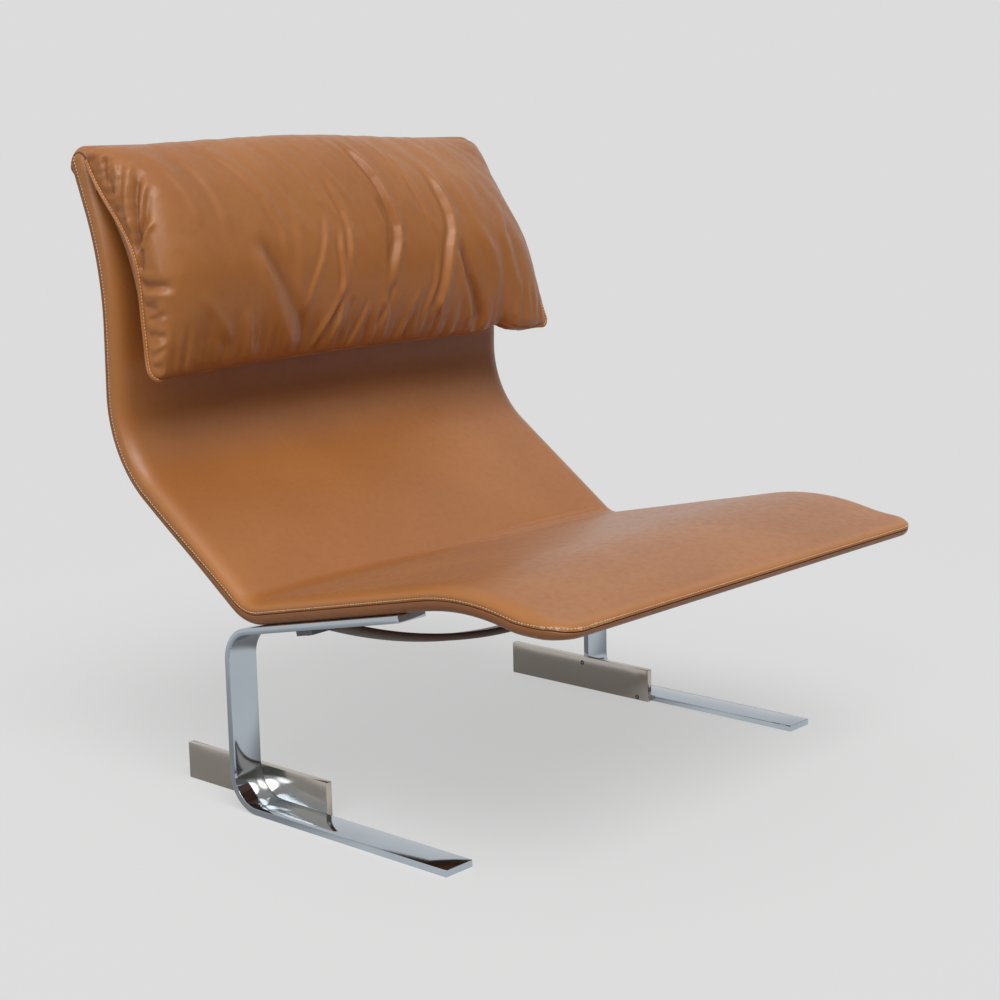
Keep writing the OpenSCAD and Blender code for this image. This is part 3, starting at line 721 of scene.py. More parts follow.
class CHAIR_OT_front_leather(bpy.types.Operator):
    """Builds the sitting side's leather, with its edge, creases and topstitching"""

    bl_idname = "chair.front_leather"
    bl_label = "Front leather"

    def execute(self, context):
        look = settings().leather
        hide = leather_material("waxed_saddle_leather", look.mid, look.light, look.deep, 0.36, 0.14)
        made, around, points = skin(
            "shell_front_leather", 1, FRONT_EDGE_R, hide,
            roll=1.2, groove=0.3, spread=1.7, crown=3.5, relief=shell_relief,
        )
        sewn_ring = int(np.argmin(np.abs(CLOSE - look.stitch_in / MM)))
        line = slice(sewn_ring * around, (sewn_ring + 1) * around)
        ups = normals(made)[line]
        sewn_at = vertices(made)[line] / MM + 0.25 * ups
        s, x, _, ring, _ = points.T
        near_edge = clamp01(1 - np.abs(ring - len(CLOSE)) / 6) * (ring < 30)
        # The wax is worn off at the near corner of the nose
        corner = np.exp(-(((s - PATH + 20) / 45) ** 2) - ((x + HALF_W - 20) / 60) ** 2)
        attribute(made, "rub_and_highlight", 0.6 * near_edge)
        attribute(made, "bare", 0.75 * corner * (ring < 10))
        # Painted shade darkens the stitch groove and the rolled-in seam
        attribute(made, "sunk", 0.6 * np.exp(-(((ring - sewn_ring) / 1.5) ** 2)) + 0.8 * (ring < 1.5))
        thicken(made, look.thickness)
        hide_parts("front_cover", "front_foam")
        sewn = stitch_run(sewn_at, ups, thread_material(), "shell_topstitching", "chair")
        return {"FINISHED"}


class CHAIR_OT_rear_leather(bpy.types.Operator):
    """Builds the leather of the back and the underside"""

    bl_idname = "chair.rear_leather"
    bl_label = "Rear leather"

    def execute(self, context):
        look = settings().leather
        # The back leather is the same leather painted darker, as painted shade on the back and the
        # underside
        hide = leather_material("waxed_back_leather", look.back, look.mid, look.deep, 0.4, 0.05)
        made = skin("shell_rear_leather", -1, REAR_EDGE_R, hide, seam_gap=GAP)[0]
        thicken(made, look.thickness)
        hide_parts("rear_cover", "rear_foam")
        return {"FINISHED"}


# ---------------------------------------------------------------------- legs

LEG_OUT, BAR_W, BAR_T = 360.0, 43.0, 8.5
LEG_IN = LEG_OUT - BAR_W
LEG_MID = LEG_OUT - BAR_W / 2
FOOT_LEN, ARM_LEN, BEND_R = 362.0, 305.0, 46.0
PLATE_LEN, PLATE_H, PLATE_T, PLATE_BACK = 257.0, 47.0, 9.0, 132.0
PLATE_FRONT = POST_Y + PLATE_BACK - PLATE_LEN
PLATE_SCREW_H, PLATE_SCREW_IN = 38, 19
ARM_BOLTS_AT = (79, 174, 269)
SCREW_SIDES = 36
# Half the width over a socket's corners, as a share of the head's radius
SOCKET_SHARE = 0.42
BOW_DROP, BOW_W, BOW_T, STRETCHER_AT = 62.0, 27.0, 6.0, 143.0


def on_arm(x, along, up):
    """Points in the arm's own frame: along it from the corner of post and arm, and square to it."""
    c, s = math.cos(RISE), math.sin(RISE)
    along, up = np.asarray(along, float), np.asarray(up, float)
    return table(x, POST_Y - along * c + up * s, ARM_H + along * s + up * c)


def leg_line():
    """The middle line of a leg's bar from the foot's tip to the arm's tip, and its square direction,
    both in (y, z)."""
    mid_r, centre_y = BEND_R - BAR_T / 2, POST_Y - BEND_R
    reach = BEND_R * math.tan((math.pi / 2 - RISE) / 2)
    top = ARM_H - reach
    heel = np.radians(np.linspace(0, 90, 25)[1:])
    knee = np.radians(np.linspace(0, 90 - SEAT_RISE, 23)[1:])
    arm = on_arm(0, np.linspace(reach, ARM_LEN, 10)[1:], -BAR_T / 2)
    line = np.concatenate([
        table(np.linspace(POST_Y - FOOT_LEN, centre_y, 10), BAR_T / 2, 0, 1),
        table(centre_y + mid_r * np.sin(heel), BEND_R - mid_r * np.cos(heel), -np.sin(heel), np.cos(heel)),
        table(POST_Y - BAR_T / 2, np.linspace(BEND_R, top, 5)[1:], -1, 0),
        table(centre_y + mid_r * np.cos(knee), top + mid_r * np.sin(knee), -np.cos(knee), -np.sin(knee)),
        table(arm[:, 1], arm[:, 2], -math.sin(RISE), -math.cos(RISE)),
    ])
    return line[:, :2], line[:, 2:]


def plate_line():
    """The same for a stabiliser plate."""
    ways = np.array([0, 40, PLATE_LEN - 40, PLATE_LEN])
    return table(PLATE_FRONT + ways, PLATE_H / 2), table(0 * ways, 1)


def bar_section(width, thick, r, steps=2):
    """A rectangle with eased corners, as (across, square) round its middle."""
    ring = []
    for cx, cy, first in ((1, 1, 0), (-1, 1, 90), (-1, -1, 180), (1, -1, 270)):
        for a in np.radians(first + 90 * np.arange(steps + 1) / steps):
            ring.append((cx * (width / 2 - r) + r * math.cos(a), cy * (thick / 2 - r) + r * math.sin(a)))
    return np.array(ring)


def sweep(line, square, section, x_mid, ease):
    """Points and faces of a bar that follows a line in the YZ plane, with eased ends."""
    size = np.abs(section).max(0)

    def ring(place, upright, inset):
        part = section * (1 - inset / size)
        yz = place + part[:, 1:] * upright
        return table(x_mid + part[:, 0], yz[:, 0], yz[:, 1])

    def eased_end(end, inner, upright):
        out = unit(end - inner)
        steps = ((0, 1), (0.3, 0.3), (1, 0))
        return [ring(end - out * back * ease, upright, inset * ease) for back, inset in steps]

    rings = eased_end(line[0], line[1], square[0])
    rings += [ring(place, upright, 0) for place, upright in zip(line[1:-1], square[1:-1])]
    rings += eased_end(line[-1], line[-2], square[-1])[::-1]
    return np.concatenate(rings), tube_faces(len(rings), len(section))


class CHAIR_OT_legs(bpy.types.Operator):
    """Builds the two legs of bent flat bar and their stabiliser plates"""

    bl_idname = "chair.legs"
    bl_label = "Legs and stabilisers"

    def execute(self, context):
        look = settings().steel
        ease = look.edge / MM
        polished = steel_material("polished_flat_steel", tuple(look.bright), 0.07, 0.05, 0.6, (1, 0.03, 1))
        brushed = steel_material("brushed_plate_steel", tuple(look.plate), 0.12, 0.12, 0.5, (1, 0.02, 1))
        bar, plate = bar_section(BAR_W, BAR_T, ease), bar_section(PLATE_T, PLATE_H, ease)
        for side, word in CHAIR_SIDES:
            for name, part, line, section, x, steel in (
                ("leg_bar", "leg", leg_line(), bar, LEG_MID, polished),
                ("stabiliser_plate", "stabiliser", plate_line(), plate, LEG_IN - PLATE_T / 2, brushed),
            ):
                made = piece(f"{name}_{word}", *sweep(*line, section, side * x, ease), steel)
                finish_metal(made)
                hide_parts(f"{part}_{word}")
        return {"FINISHED"}


def socket_screw(centre, axis, head_r, length, shaft_r, proud):
    """A flat-headed screw with a hexagonal socket, looked at along its axis. The head stands a
    little proud of the face that it sits in."""
    axis = unit(np.array(axis, float))
    side = unit(np.cross(axis, (0.3, 1, 0.2)))
    other = np.cross(axis, side)
    a = 2 * np.pi * np.arange(SCREW_SIDES) / SCREW_SIDES
    sixth = math.pi / 6
    socket = SOCKET_SHARE * head_r * math.cos(sixth) / np.cos((a + sixth) % (2 * sixth) - sixth)
    rings = (
        (0.02, -1.6),
        (socket * 0.98, -1.6),
        (socket, proud - 0.1),
        (socket * 1.08, proud),
        (head_r * 0.86, proud),
        (head_r * 0.97, proud * 0.6),
        (head_r, 0),
        (head_r, -1.7),
        (shaft_r, -1.9),
        (shaft_r, -length),
    )
    verts = []
    for radius, height in rings:
        first = np.array(centre) + np.outer(radius * np.cos(a), side)
        verts.append(first + np.outer(radius * np.sin(a), other) + axis * height)
    return np.concatenate(verts), tube_faces(len(rings), SCREW_SIDES)


class CHAIR_OT_fasteners(bpy.types.Operator):
    """Builds the socket screws of the stabilisers, arms and stretcher"""

    bl_idname = "chair.fasteners"
    bl_label = "Screws and bolts"

    def execute(self, context):
        dark = steel_material("oiled_screw_steel", tuple(settings().steel.screw), 0.3, 0.1, 1.0, (1, 1, 1))
        down = on_arm(0, 0, -1) - on_arm(0, 0, 0)
        # Radius of the head, length, radius of the shaft, and how proud the head stands
        small, large, middle = (3.4, 22, 2, 0.3), (5.1, 16, 3, 0.3), (4.25, 12, 2.5, 1.0)
        for side, word in CHAIR_SIDES:
            face, x = side * (LEG_IN - PLATE_T), side * LEG_MID
            in_plate = [
                (face, POST_Y - BAR_T / 2, PLATE_SCREW_H),
                (face, PLATE_FRONT + PLATE_SCREW_IN, BAR_T / 2),
            ]
            in_arm = [on_arm(x, way, -BAR_T) for way in ARM_BOLTS_AT]
            in_stretcher = [on_arm(x + k * BAR_W / 4, STRETCHER_AT, -BAR_T - BOW_T) for k in (-1, 1)]
            for name, part, places, axis, sizes in (
                ("plate_screws", "stabiliser_screws", in_plate, (-side, 0, 0), small),
                ("arm_socket_bolts", "arm_bolts", in_arm, down, large),
                ("stretcher_socket_bolts", "stretcher_bolts", in_stretcher, down, middle),
            ):
                screws = [socket_screw(place, axis, *sizes) for place in places]
                made = piece(f"{name}_{word}", *joined(screws), dark)
                finish_metal(made, 30)
                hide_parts(f"{part}_{word}")
        return {"FINISHED"}


# ----------------------------------------------------------------- stretcher

BOW_HALF = LEG_IN - 6
BOW_R = (BOW_HALF**2 + BOW_DROP**2) / (2 * BOW_DROP)
SLEEVE_T, SLEEVE_CORNER_R = 1.3, 3.2


class CHAIR_OT_stretcher(bpy.types.Operator):
    """Builds the leather sleeve round the bowed stretcher"""

    bl_idname = "chair.stretcher"
    bl_label = "Stretcher sleeve"

    def execute(self, context):
        # The sleeve is the same leather painted darker, as painted shade under the seat
        tone = settings().leather.sleeve
        hide = leather_material("shaded_sleeve_leather", tone, tone, tuple(0.6 * c for c in tone))
        out = 2 * (GAP + SLEEVE_T)
        section = bar_section(BOW_W + out, BOW_T + out, SLEEVE_CORNER_R, 4)
        depth = BOW_T / 2 - section[:, 1]
        rings = []
        for x in np.linspace(-BOW_HALF, BOW_HALF, 121):
            a = math.asin(x / BOW_R)
            up = BOW_R - BOW_DROP - (BOW_R + depth) * math.cos(a) - BAR_T
            wave = 1 + 0.25 * noise.noise((x / 23, 0.7, 0.1)) / 30
            rings.append(on_arm(x + depth * math.sin(a), STRETCHER_AT + section[:, 0] * wave, up))
        faces = grid_faces(len(rings), len(section), wrap=True)
        made = piece("stretcher_leather", np.concatenate(rings), faces, hide)
        fix_normals(made)
        thicken(made, SLEEVE_T * MM)
        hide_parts("stretcher_sleeve")
        return {"FINISHED"}


# ------------------------------------------------------------------ headrest

CUSHION_REAR = FLAP_OUT + GAP
CUSHION_T, CUSHION_H, CUSHION_RISE = 86.0, 305.0, 12.0
CUSHION_HALF = 359.0
TOP_SLOPE, SIDE_DRAW, BOTTOM_DRAW = 7.0, 5.0, 9.0
SEAM_HALF = 2.2
FLANGE_OUT = 4.0
# Radii of the cushion's corners, and the x beyond which its near side's panel lies
NEAR_TOP_R, FAR_TOP_R, BOTTOM_R = 6, 24, 13
PANEL_X = -290
SIM_FRAMES = 20
LEAN = math.radians(HEAD_LEAN)
HEAD_OUT = np.array([0, -math.cos(LEAN), math.sin(LEAN)])


def corner_in(edge, r):
    """How far a round corner has drawn in at a distance from the edge beside it."""
    return np.where(edge >= r, 0, r - np.sqrt(np.maximum(0, r * r - (r - edge) ** 2)))


def on_head(x, s, d):
    """Points in the head's frame: s down its slope from the top, d square to it towards the front."""
    s, d = np.asarray(s, float), np.asarray(d, float)
    y = SHELL_Y - s * math.sin(LEAN) - d * math.cos(LEAN)
    return table(x, y, SHELL_Z - s * math.cos(LEAN) + d * math.sin(LEAN))


def off_head(points):
    """(x, s, d) in the head's frame of points in space."""
    y, z = points[:, 1] - SHELL_Y, points[:, 2] - SHELL_Z
    s = -y * math.sin(LEAN) - z * math.cos(LEAN)
    return points[:, 0], s, -y * math.cos(LEAN) + z * math.sin(LEAN)


def cushion_seam(v, u):
    """Height of the seam above the shell's middle. It dips to the shell at the near bottom corner,
    and stands off it towards the far one."""
    near = 0.3 * np.sin(np.pi * v) ** 2.5 + 0.14 * v - 0.07 * smooth((v - 0.85) / 0.15)
    far = 0.35 * smooth((v - 0.15) / 0.5)
    return CUSHION_REAR + SEAM_HALF + CUSHION_T * (near + (far - near) * smooth((u - 0.45) / 0.4))


def seam_beside(x, s):
    """Height of the cushion's seam at points that are given in the head's frame."""
    return cushion_seam(clamp01((s + CUSHION_RISE) / CUSHION_H), x / CUSHION_HALF)


def cushion_place(u, v, front):
    """(x, s, d) of a point of the cushion's face, u over the width and v down the height."""
    half = CUSHION_HALF - FLANGE_OUT - SIDE_DRAW * np.sin(np.pi * v) * (u < 0)
    edge = CUSHION_HALF * (1 - np.abs(u))
    x = half * u
    high = -CUSHION_RISE + TOP_SLOPE * u * u + corner_in(edge, np.where(u < 0, NEAR_TOP_R, FAR_TOP_R))
    low = CUSHION_H - CUSHION_RISE - BOTTOM_DRAW * (1 - u * u) - corner_in(edge, BOTTOM_R)
    # The pucker in the bottom edge, beside the ear at the far corner
    low = low - 10 * np.exp(-(((x - 258) / 15) ** 2)) + 4 * np.exp(-(((x - 310) / 25) ** 2))
    seam = cushion_seam(v, u)
    # The near side is boxy, with a flat panel; the far side has sunk and slopes off to its seam
    near = np.maximum(1 - np.abs(u) ** 22, 0) ** 0.55
    sunk = np.maximum(1 - np.abs(u) ** 5, 0) ** 0.62
    across = np.where(u < 0, near, sunk)
    skew = 0.8 + 0.45 * smooth((u + 0.1) / 0.9)
    if front:
        full = np.maximum(np.sin(np.pi * v**skew), 0) ** (0.38 + 0.22 * v)
        d = seam + SEAM_HALF + (CUSHION_REAR + CUSHION_T - 3 - seam - SEAM_HALF) * across * full
    else:
        full = np.maximum(np.sin(np.pi * v), 0) ** 0.12
        d = seam - SEAM_HALF - (seam - SEAM_HALF - CUSHION_REAR) * across * full
    return x, high + v * (low - high), d


def fold(x, s, line, height, width, skew=0.0):
    """Height of a fold along a line of (x, s) points. It runs out at both ends, and a skewed one
    has a valley beside it."""
    line = np.array(line, float)
    steps = np.linalg.norm(np.diff(line, axis=0), axis=1)
    before = np.concatenate([[0], np.cumsum(steps)])
    best = np.full(len(x), 1e9)
    way, signed = np.zeros(len(x)), np.zeros(len(x))
    for k, step in enumerate(steps):
        along = (line[k + 1] - line[k]) / step
        rx, rs = x - line[k, 0], s - line[k, 1]
        t = rx * along[0] + rs * along[1]
        # The first and the last step go on beyond the line
        held = np.clip(t, -1e3 if k == 0 else 0, 1e3 if k == len(steps) - 1 else step)
        off = rx * along[1] - rs * along[0]
        far = np.hypot(off, t - held)
        closer = far < best
        best = np.where(closer, far, best)
        way = np.where(closer, before[k] + held, way)
        signed = np.where(closer, off, signed)
    share = way / before[-1]
    ends = smooth(clamp01(share / 0.25 + 0.15) * clamp01((1 - share) / 0.25 + 0.15))
    shape = np.exp(-((signed / width) ** 2))
    if skew:
        shape -= abs(skew) * np.exp(-(((signed - np.sign(skew) * 1.6 * width) / width) ** 2))
    return height * ends * shape


# Folds of the cushion's front: height and width in mm, valley beside it, and the line in (x, s)
FRONT_FOLDS = (
    (4.6, 6, -0.7, (
        (16, 6), (26, 26), (35, 47), (44, 71), (49, 97),
        (54, 122), (58, 143), (54, 165), (44, 190), (32, 224))),
    (-2.4, 5, 0, ((30, 100), (40, 140), (34, 168), (28, 196))),
    (5.0, 7, -0.6, (
        (148, 50), (158, 80), (163, 108), (165, 133), (161, 157),
        (150, 178), (143, 200), (131, 238), (110, 278))),
    (1.9, 4.5, -0.5, ((92, 30), (100, 60), (108, 90), (116, 120), (124, 158))),
    (2.2, 5, -0.6, ((120, 190), (118, 220), (104, 250), (92, 282))),
    (-7.5, 8, -0.3, ((168, 168), (174, 192), (182, 219), (197, 247), (216, 290))),
    (2.6, 5, -0.6, ((-50, 70), (-42, 95), (-35, 118), (-32, 142), (-36, 172), (-40, 196))),
    (2.6, 4.5, -0.7, ((-50, 140), (-54, 170), (-53, 200), (-56, 233), (-66, 275))),
    (1.9, 5, -0.4, ((-70, 120), (-76, 150), (-88, 178), (-105, 205), (-124, 240))),
    (4.2, 11, 0, ((-204, 160), (-187, 200), (-169, 233), (-153, 258), (-132, 292))),
    (-4.6, 10, 0, ((-192, 140), (-174, 175), (-153, 208), (-138, 234), (-114, 280))),
    (3.4, 5, 0.7, ((-52, 205), (-66, 232), (-86, 256), (-106, 291))),
    (2.4, 4.5, 0, ((-58, 246), (-68, 270), (-80, 296))),
    (2.8, 4.5, -0.5, ((-6, 236), (-18, 262), (-36, 295))),
    (-2.8, 5, 0, ((40, 212), (28, 238), (8, 270))),
    (3.0, 5.5, 0, ((22, 228), (28, 255), (30, 290))),
    (2.4, 5, 0.6, ((86, 226), (70, 258), (50, 294))),
    (2.6, 4.5, -0.5, ((124, 240), (131, 262), (131, 294))),
    (-2.2, 4.5, 0, ((-36, 225), (-44, 252), (-50, 290))),
    (1.5, 5.5, -0.4, ((-70, 10), (-58, 36), (-43, 66), (-16, 112))),
    (1.5, 5.5, -0.4, ((-10, 6), (4, 34), (17, 62), (36, 104), (44, 128))),
    (1.4, 5, -0.4, ((-80, 50), (-66, 83), (-56, 105), (-44, 140))),
    (1.3, 5, -0.4, ((70, 10), (84, 44), (92, 76), (96, 104))),
    (2.0, 8, -0.4, ((-268, 12), (-252, 48), (-240, 90), (-232, 140))),
    (1.8, 7, 0, ((-306, 20), (-292, 50), (-280, 90), (-276, 130))),
    (2.0, 7.5, -0.5, ((-225, 0), (-190, 50), (-163, 92), (-148, 140), (-146, 180))),
    (1.5, 7, -0.3, ((-135, 5), (-108, 46), (-84, 88), (-70, 120))),
    (1.3, 6, -0.3, ((-175, 20), (-150, 60), (-125, 105), (-112, 150))),
    (1.6, 9, 0, ((-128, 130), (-124, 170), (-132, 210), (-128, 250))),
    (1.6, 14, 0, ((236, 50), (222, 110), (226, 170), (240, 220))),
    (1.6, 9, -0.3, ((190, 60), (196, 110), (212, 150), (236, 200))),
    (1.8, 9, 0.3, ((280, 110), (270, 160), (276, 210), (290, 250))),
    (1.8, 8, -0.4, ((-296, 205), (-268, 232), (-240, 266))),
    (1.8, 6, 0, ((-222, 228), (-214, 255), (-205, 292))),
)
# Folds of the near side's panel, with the line in (d, s)
SIDE_FOLDS = (
    (-2.6, 3.6, 0, ((49, 10), (46, 28), (41, 48))),
    (3.2, 4, 0, ((60, 20), (62, 45), (58, 60), (46, 84))),
    (-2.2, 3.2, 0, ((51, 38), (48, 60), (44, 84))),
    (3.4, 5, 0, ((79, 14), (71, 59), (63, 92), (61, 128))),
    (-4.6, 4.5, 0, ((90, 26), (78, 80), (70, 112), (56, 150))),
    (3.4, 4.2, 0, ((93, 38), (81, 99), (71, 128))),
    (-2.8, 3.6, 0, ((94, 56), (84, 105), (62, 143))),
    (2.8, 3.6, -0.6, ((91, 110), (72, 134), (59, 150))),
    (-3.6, 4, 0, ((43, 149), (52, 157), (63, 162))),
    (-3.2, 3.2, 0, ((69, 138), (65, 148), (60, 158))),
    (-3.0, 6.5, -0.4, ((38, 174), (62, 184), (84, 193), (98, 206))),
    (-1.7, 5, 0, ((42, 202), (54, 208), (66, 215))),
    (-1.3, 5, 0, ((46, 221), (58, 224), (74, 224))),
    (-1.5, 5, 0, ((39, 238), (50, 243), (62, 250))),
    (1.8, 4, 0, ((35, 261), (55, 257), (82, 250))),
    (1.6, 3.6, 0, ((31, 273), (46, 270), (66, 266))),
)
# Slant of the fine streaks on the cushion's upper part
STREAK_SLANT = math.radians(52)


def cushion_relief(x, s, d):
    """Folds of the loose leather as (towards the front, towards the near side), in mm."""
    front, panel = np.zeros(len(x)), np.zeros(len(x))
    for height, width, skew, line in FRONT_FOLDS:
        front += fold(x, s, line, height, width, skew)
    for height, width, skew, line in SIDE_FOLDS:
        panel += fold(d, s, line, height, width, skew)
    across = x * math.sin(STREAK_SLANT) - s * math.cos(STREAK_SLANT)
    along = x * math.cos(STREAK_SLANT) + s * math.sin(STREAK_SLANT)
    streaks = noise_at(across / 19, along / 95, 2.3) * clamp01((220 - s) / 80)
    gathers = noise_at(x / 12, s / 70, 7.7) * clamp01((s - 225) / 45)
    side_gathers = noise_at(s / 8, d / 26, 4.1) * clamp01((80 - d) / 30)
    return front + streaks + 3.4 * gathers, 1.35 * (panel + 1.6 * side_gathers)


def simulate(made):
    """Fills the cushion with the cloth simulation, and caps how far a point moves."""
    look = settings().cushion
    start = vertices(made)
    x, s, d = off_head(start / MM)
    held = made.vertex_groups.new(name="held")
    for i, weight in enumerate(clamp01((seam_beside(x, s) + 3 - d) / 5)):
        held.add([i], float(weight), "REPLACE")
    cloth = made.modifiers.new("Cloth", "CLOTH")
    for name, value in (
        ("vertex_group_mass", "held"), ("quality", 6), ("mass", 0.4), ("tension_stiffness", 12),
        ("compression_stiffness", 12), ("shear_stiffness", 6), ("bending_stiffness", 0.4),
        ("use_pressure", True), ("uniform_pressure_force", look.pressure), ("shrink_min", -0.05),
    ):
        setattr(cloth.settings, name, value)
    cloth.settings.effector_weights.gravity = 0
    cloth.collision_settings.use_self_collision = False
    scene = bpy.context.scene
    for k in range(1, SIM_FRAMES + 1):
        scene.frame_set(k)
    apply_modifiers(made)
    scene.frame_set(1)
    moved = vertices(made) - start
    place_vertices(made, start + moved * min(1, look.swell / np.linalg.norm(moved, axis=1).max()))


# Section of the cushion's sewn edge, as (way out, height)
EDGE_SECTION = (
    (-3.0, 1.9), (0.5, 1.7), (2.6, 1.5), (3.7, 1.0), (4.0, 0.0),
    (3.7, -1.0), (2.6, -1.5), (0.5, -1.7), (-3.0, -1.9),
)


def cushion_edge(soft):
    """The flat sewn edge down the cushion's sides and along its bottom, with its topstitching."""
    down = np.linspace(0.02, 1, 90)[:-1]
    bottom = eased(-1.0, 1.0, 180)
    u = np.concatenate([0 * down - 1, bottom, 0 * down + 1])
    v = np.concatenate([down, 0 * bottom + 1, down[::-1]])
    mid = (table(*cushion_place(u, v, True)) + table(*cushion_place(u, v, False))) / 2
    along = unit(np.gradient(mid[:, :2], axis=0))
    out = table(-along[:, 1], along[:, 0])
    # The way outwards turns smoothly at the corners
    for _ in range(12):
        out[1:-1] = (out[:-2] + 2 * out[1:-1] + out[2:]) / 4
    out = unit(out)
    wave = noise_at(np.arange(len(mid)) / 7, 0.4, 5.2)
    # Along the bottom the edge is tucked in, and only the seam shows
    shown = 0.25 + 0.75 * smooth((np.abs(u) - 0.9) / 0.09)

    def beside(reach, high):
        place = mid[:, :2] + out * reach
        return on_head(place[:, 0], place[:, 1], mid[:, 2] + high + 0.4 * wave)

    rings = []
    for reach, high in EDGE_SECTION:
        rings.append(beside(((reach + 0.5 * wave) * shown)[:, None] if reach > 0 else reach, high))
    points = np.stack(rings, 1).reshape(-1, 3)
    sewn = piece("headrest_sewn_edge", points, tube_faces(len(mid), len(rings)), soft, "headrest")
    fix_normals(sewn)
    line = beside(0.9, 1.75)
    ups = HEAD_OUT + out[:, :1] * np.array([[0.6, 0, 0]])
    thread = bpy.data.materials["waxed_linen_thread"]
    for side, word in CHAIR_SIDES:
        part = side * u > 0.97
        name = f"headrest_topstitching_{word}"
        sewn = stitch_run(line[part], ups[part], thread, name, "headrest", closed=False)


class CHAIR_OT_headrest(bpy.types.Operator):
    """Builds the headrest cushion with its folds, seam and stitching"""

    bl_idname = "chair.headrest"
    bl_label = "Headrest cushion"

    def execute(self, context):
        look = settings().leather
        soft = leather_material("soft_nappa_leather", look.mid, look.light, look.deep)
        # Two sheets, front and rear, that a band round their rims joins
        nu, nv = 121, 71
        v, u = (a.ravel() for a in np.meshgrid(eased(0.0, 1.0, nv), eased(-1.0, 1.0, nu), indexing="ij"))
        points = np.concatenate([on_head(*cushion_place(u, v, front)) for front in (True, False)])
        rear = nu * nv
        faces = grid_faces(nv, nu).tolist() + grid_faces(nv, nu, first=rear, flip=True).tolist()
        rim = list(range(nu)) + [j * nu + nu - 1 for j in range(1, nv)]
        rim += [(nv - 1) * nu + i for i in range(nu - 2, -1, -1)] + [j * nu for j in range(nv - 2, 0, -1)]
        faces += [[b, a, a + rear, b + rear] for a, b in zip(rim, rim[1:] + rim[:1])]
        made = piece("headrest_cushion_leather", points, faces, soft, None)
        fix_normals(made)
        modifier(made, "REMESH", mode="VOXEL", voxel_size=settings().cushion.voxel)
        apply_modifiers(made)
        simulate(made)
        modifier(made, "SUBSURF", levels=1, render_levels=1)
        apply_modifiers(made)
        made.data.shade_smooth()
        points, out = vertices(made) / MM, normals(made)
        x, s, d = off_head(points)
        facing = clamp01(out @ HEAD_OUT)
        beside = smooth((-out[:, 0] - 0.25) / 0.5) * (x < PANEL_X)
        free = clamp01((d - seam_beside(x, s) - 1) / 6)
        front, panel = cushion_relief(x, s, d)
        lift = (front * facing**0.5 * (1 - beside) + panel * beside) * free
        place_vertices(made, (points + out * lift[:, None]) * MM)
        # Painted shade darkens the fold valleys
        attribute(made, "sunk", clamp01(-lift / 6) * 0.5)
        # Painted highlight lightens the fold ridges
        attribute(made, "rub_and_highlight", clamp01(lift / 6) * 0.3)
        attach(made, "headrest")
        cushion_edge(soft)
        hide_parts("headrest_cover", "headrest_filling")
        return {"FINISHED"}


FLAP_HALF = 351.0
# Length of the flap inside the cushion, and how far down the back its hem begins
FLAP_TUCK, HEM_FROM = 50, 34
# The hem goes round the weight and ends beside the shell, as (s, way out from the shell)
HEM = (
    (35.4, 2.4), (36.1, 4.5), (36.2, 6.8), (37.1, 7.9), (38.6, 8.2), (43, 8.2), (47, 8.2),
    (52, 8.2), (53.6, 7), (54, 4), (53.6, 1), (52, 0.2),
)


class CHAIR_OT_flap(bpy.types.Operator):
    """Builds the flap that hangs the cushion over the top of the shell"""

    bl_idname = "chair.flap"
    bl_label = "Headrest flap"

    def execute(self, context):
        soft = bpy.data.materials["soft_nappa_leather"]
        half_round = np.radians(np.linspace(0, 180, 25))
        hem = np.array(HEM)
        section = np.concatenate([
            table(np.linspace(FLAP_TUCK, 0, 9)[:-1], FLAP_OUT),
            table(-FLAP_OUT * np.sin(half_round), FLAP_OUT * np.cos(half_round)),
            table(np.linspace(0, HEM_FROM, 8)[1:], -FLAP_OUT),
            table(hem[:, 0], -HALF_T - GAP - hem[:, 1]),
        ])
        s, d = section.T
        xs = eased(-FLAP_HALF, FLAP_HALF, 121)
        # The flap's back is cut narrower, so that its hem keeps behind the shell
        narrow = 1 - 0.024 * np.where(d < 0, smooth(s / 30), 0)
        rows = []
        for x in xs:
            # It droops over the shell's rounded corners, and is a little full over the middle
            droop = float(corner_in(HALF_W - abs(x), HEAD_CORNER_R)) - (1 - (x / FLAP_HALF) ** 2)
            wave = 0.5 * noise.noise((x / 40, 1.3, 8.1))
            moved = np.maximum((droop + wave) * clamp01((8 - s) / 16), -4)
            rows.append(on_head(x * narrow, s + moved, d))
        faces = grid_faces(len(xs), len(section))
        made = piece("headrest_flap_leather", np.concatenate(rows), faces, soft, "headrest")
        fix_normals(made)
        thicken(made, LEATHER_T * MM)
        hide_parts("headrest_flap")
        return {"FINISHED"}


# -------------------------------------------------------------- inner pieces

STEEL_PARTS = (
    "side_rail_right", "side_rail_left", "top_rail", "seat_rail", "front_rail", "mount_plate_right",
    "mount_plate_left", "stretcher_bar", "flap_weight",
)
WEBBING_PARTS = ("back_straps", "seat_straps")


class CHAIR_OT_inner_frame(bpy.types.Operator):
    """Gives the frame, webbing and weight inside the chair their materials"""

    bl_idname = "chair.inner_frame"
    bl_label = "Inner frame"

    def execute(self, context):
        # Hot-rolled steel with its blue-grey mill scale
        mill = plain_material("mill_scale_steel", "#54575b", "#75787b", 8, 0.5, 0.05, metallic=1.0)
        # Elastic webbing, woven from black rubber and yarn
        webbing = plain_material(
            "woven_elastic_webbing", "#2a2a2c", "#3c3a38", 2.5, 0.85, 0.4, kind="TexWave"
        )
        for parts, material in ((STEEL_PARTS, mill), (WEBBING_PARTS, webbing)):
            for name in parts:
                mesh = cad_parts[name].data
                mesh.materials.clear()
                mesh.materials.append(material)
        return {"FINISHED"}


# --------------------------------------------------------------------- stage

FLOOR_R, FLOOR_SIDES = 9.0, 64
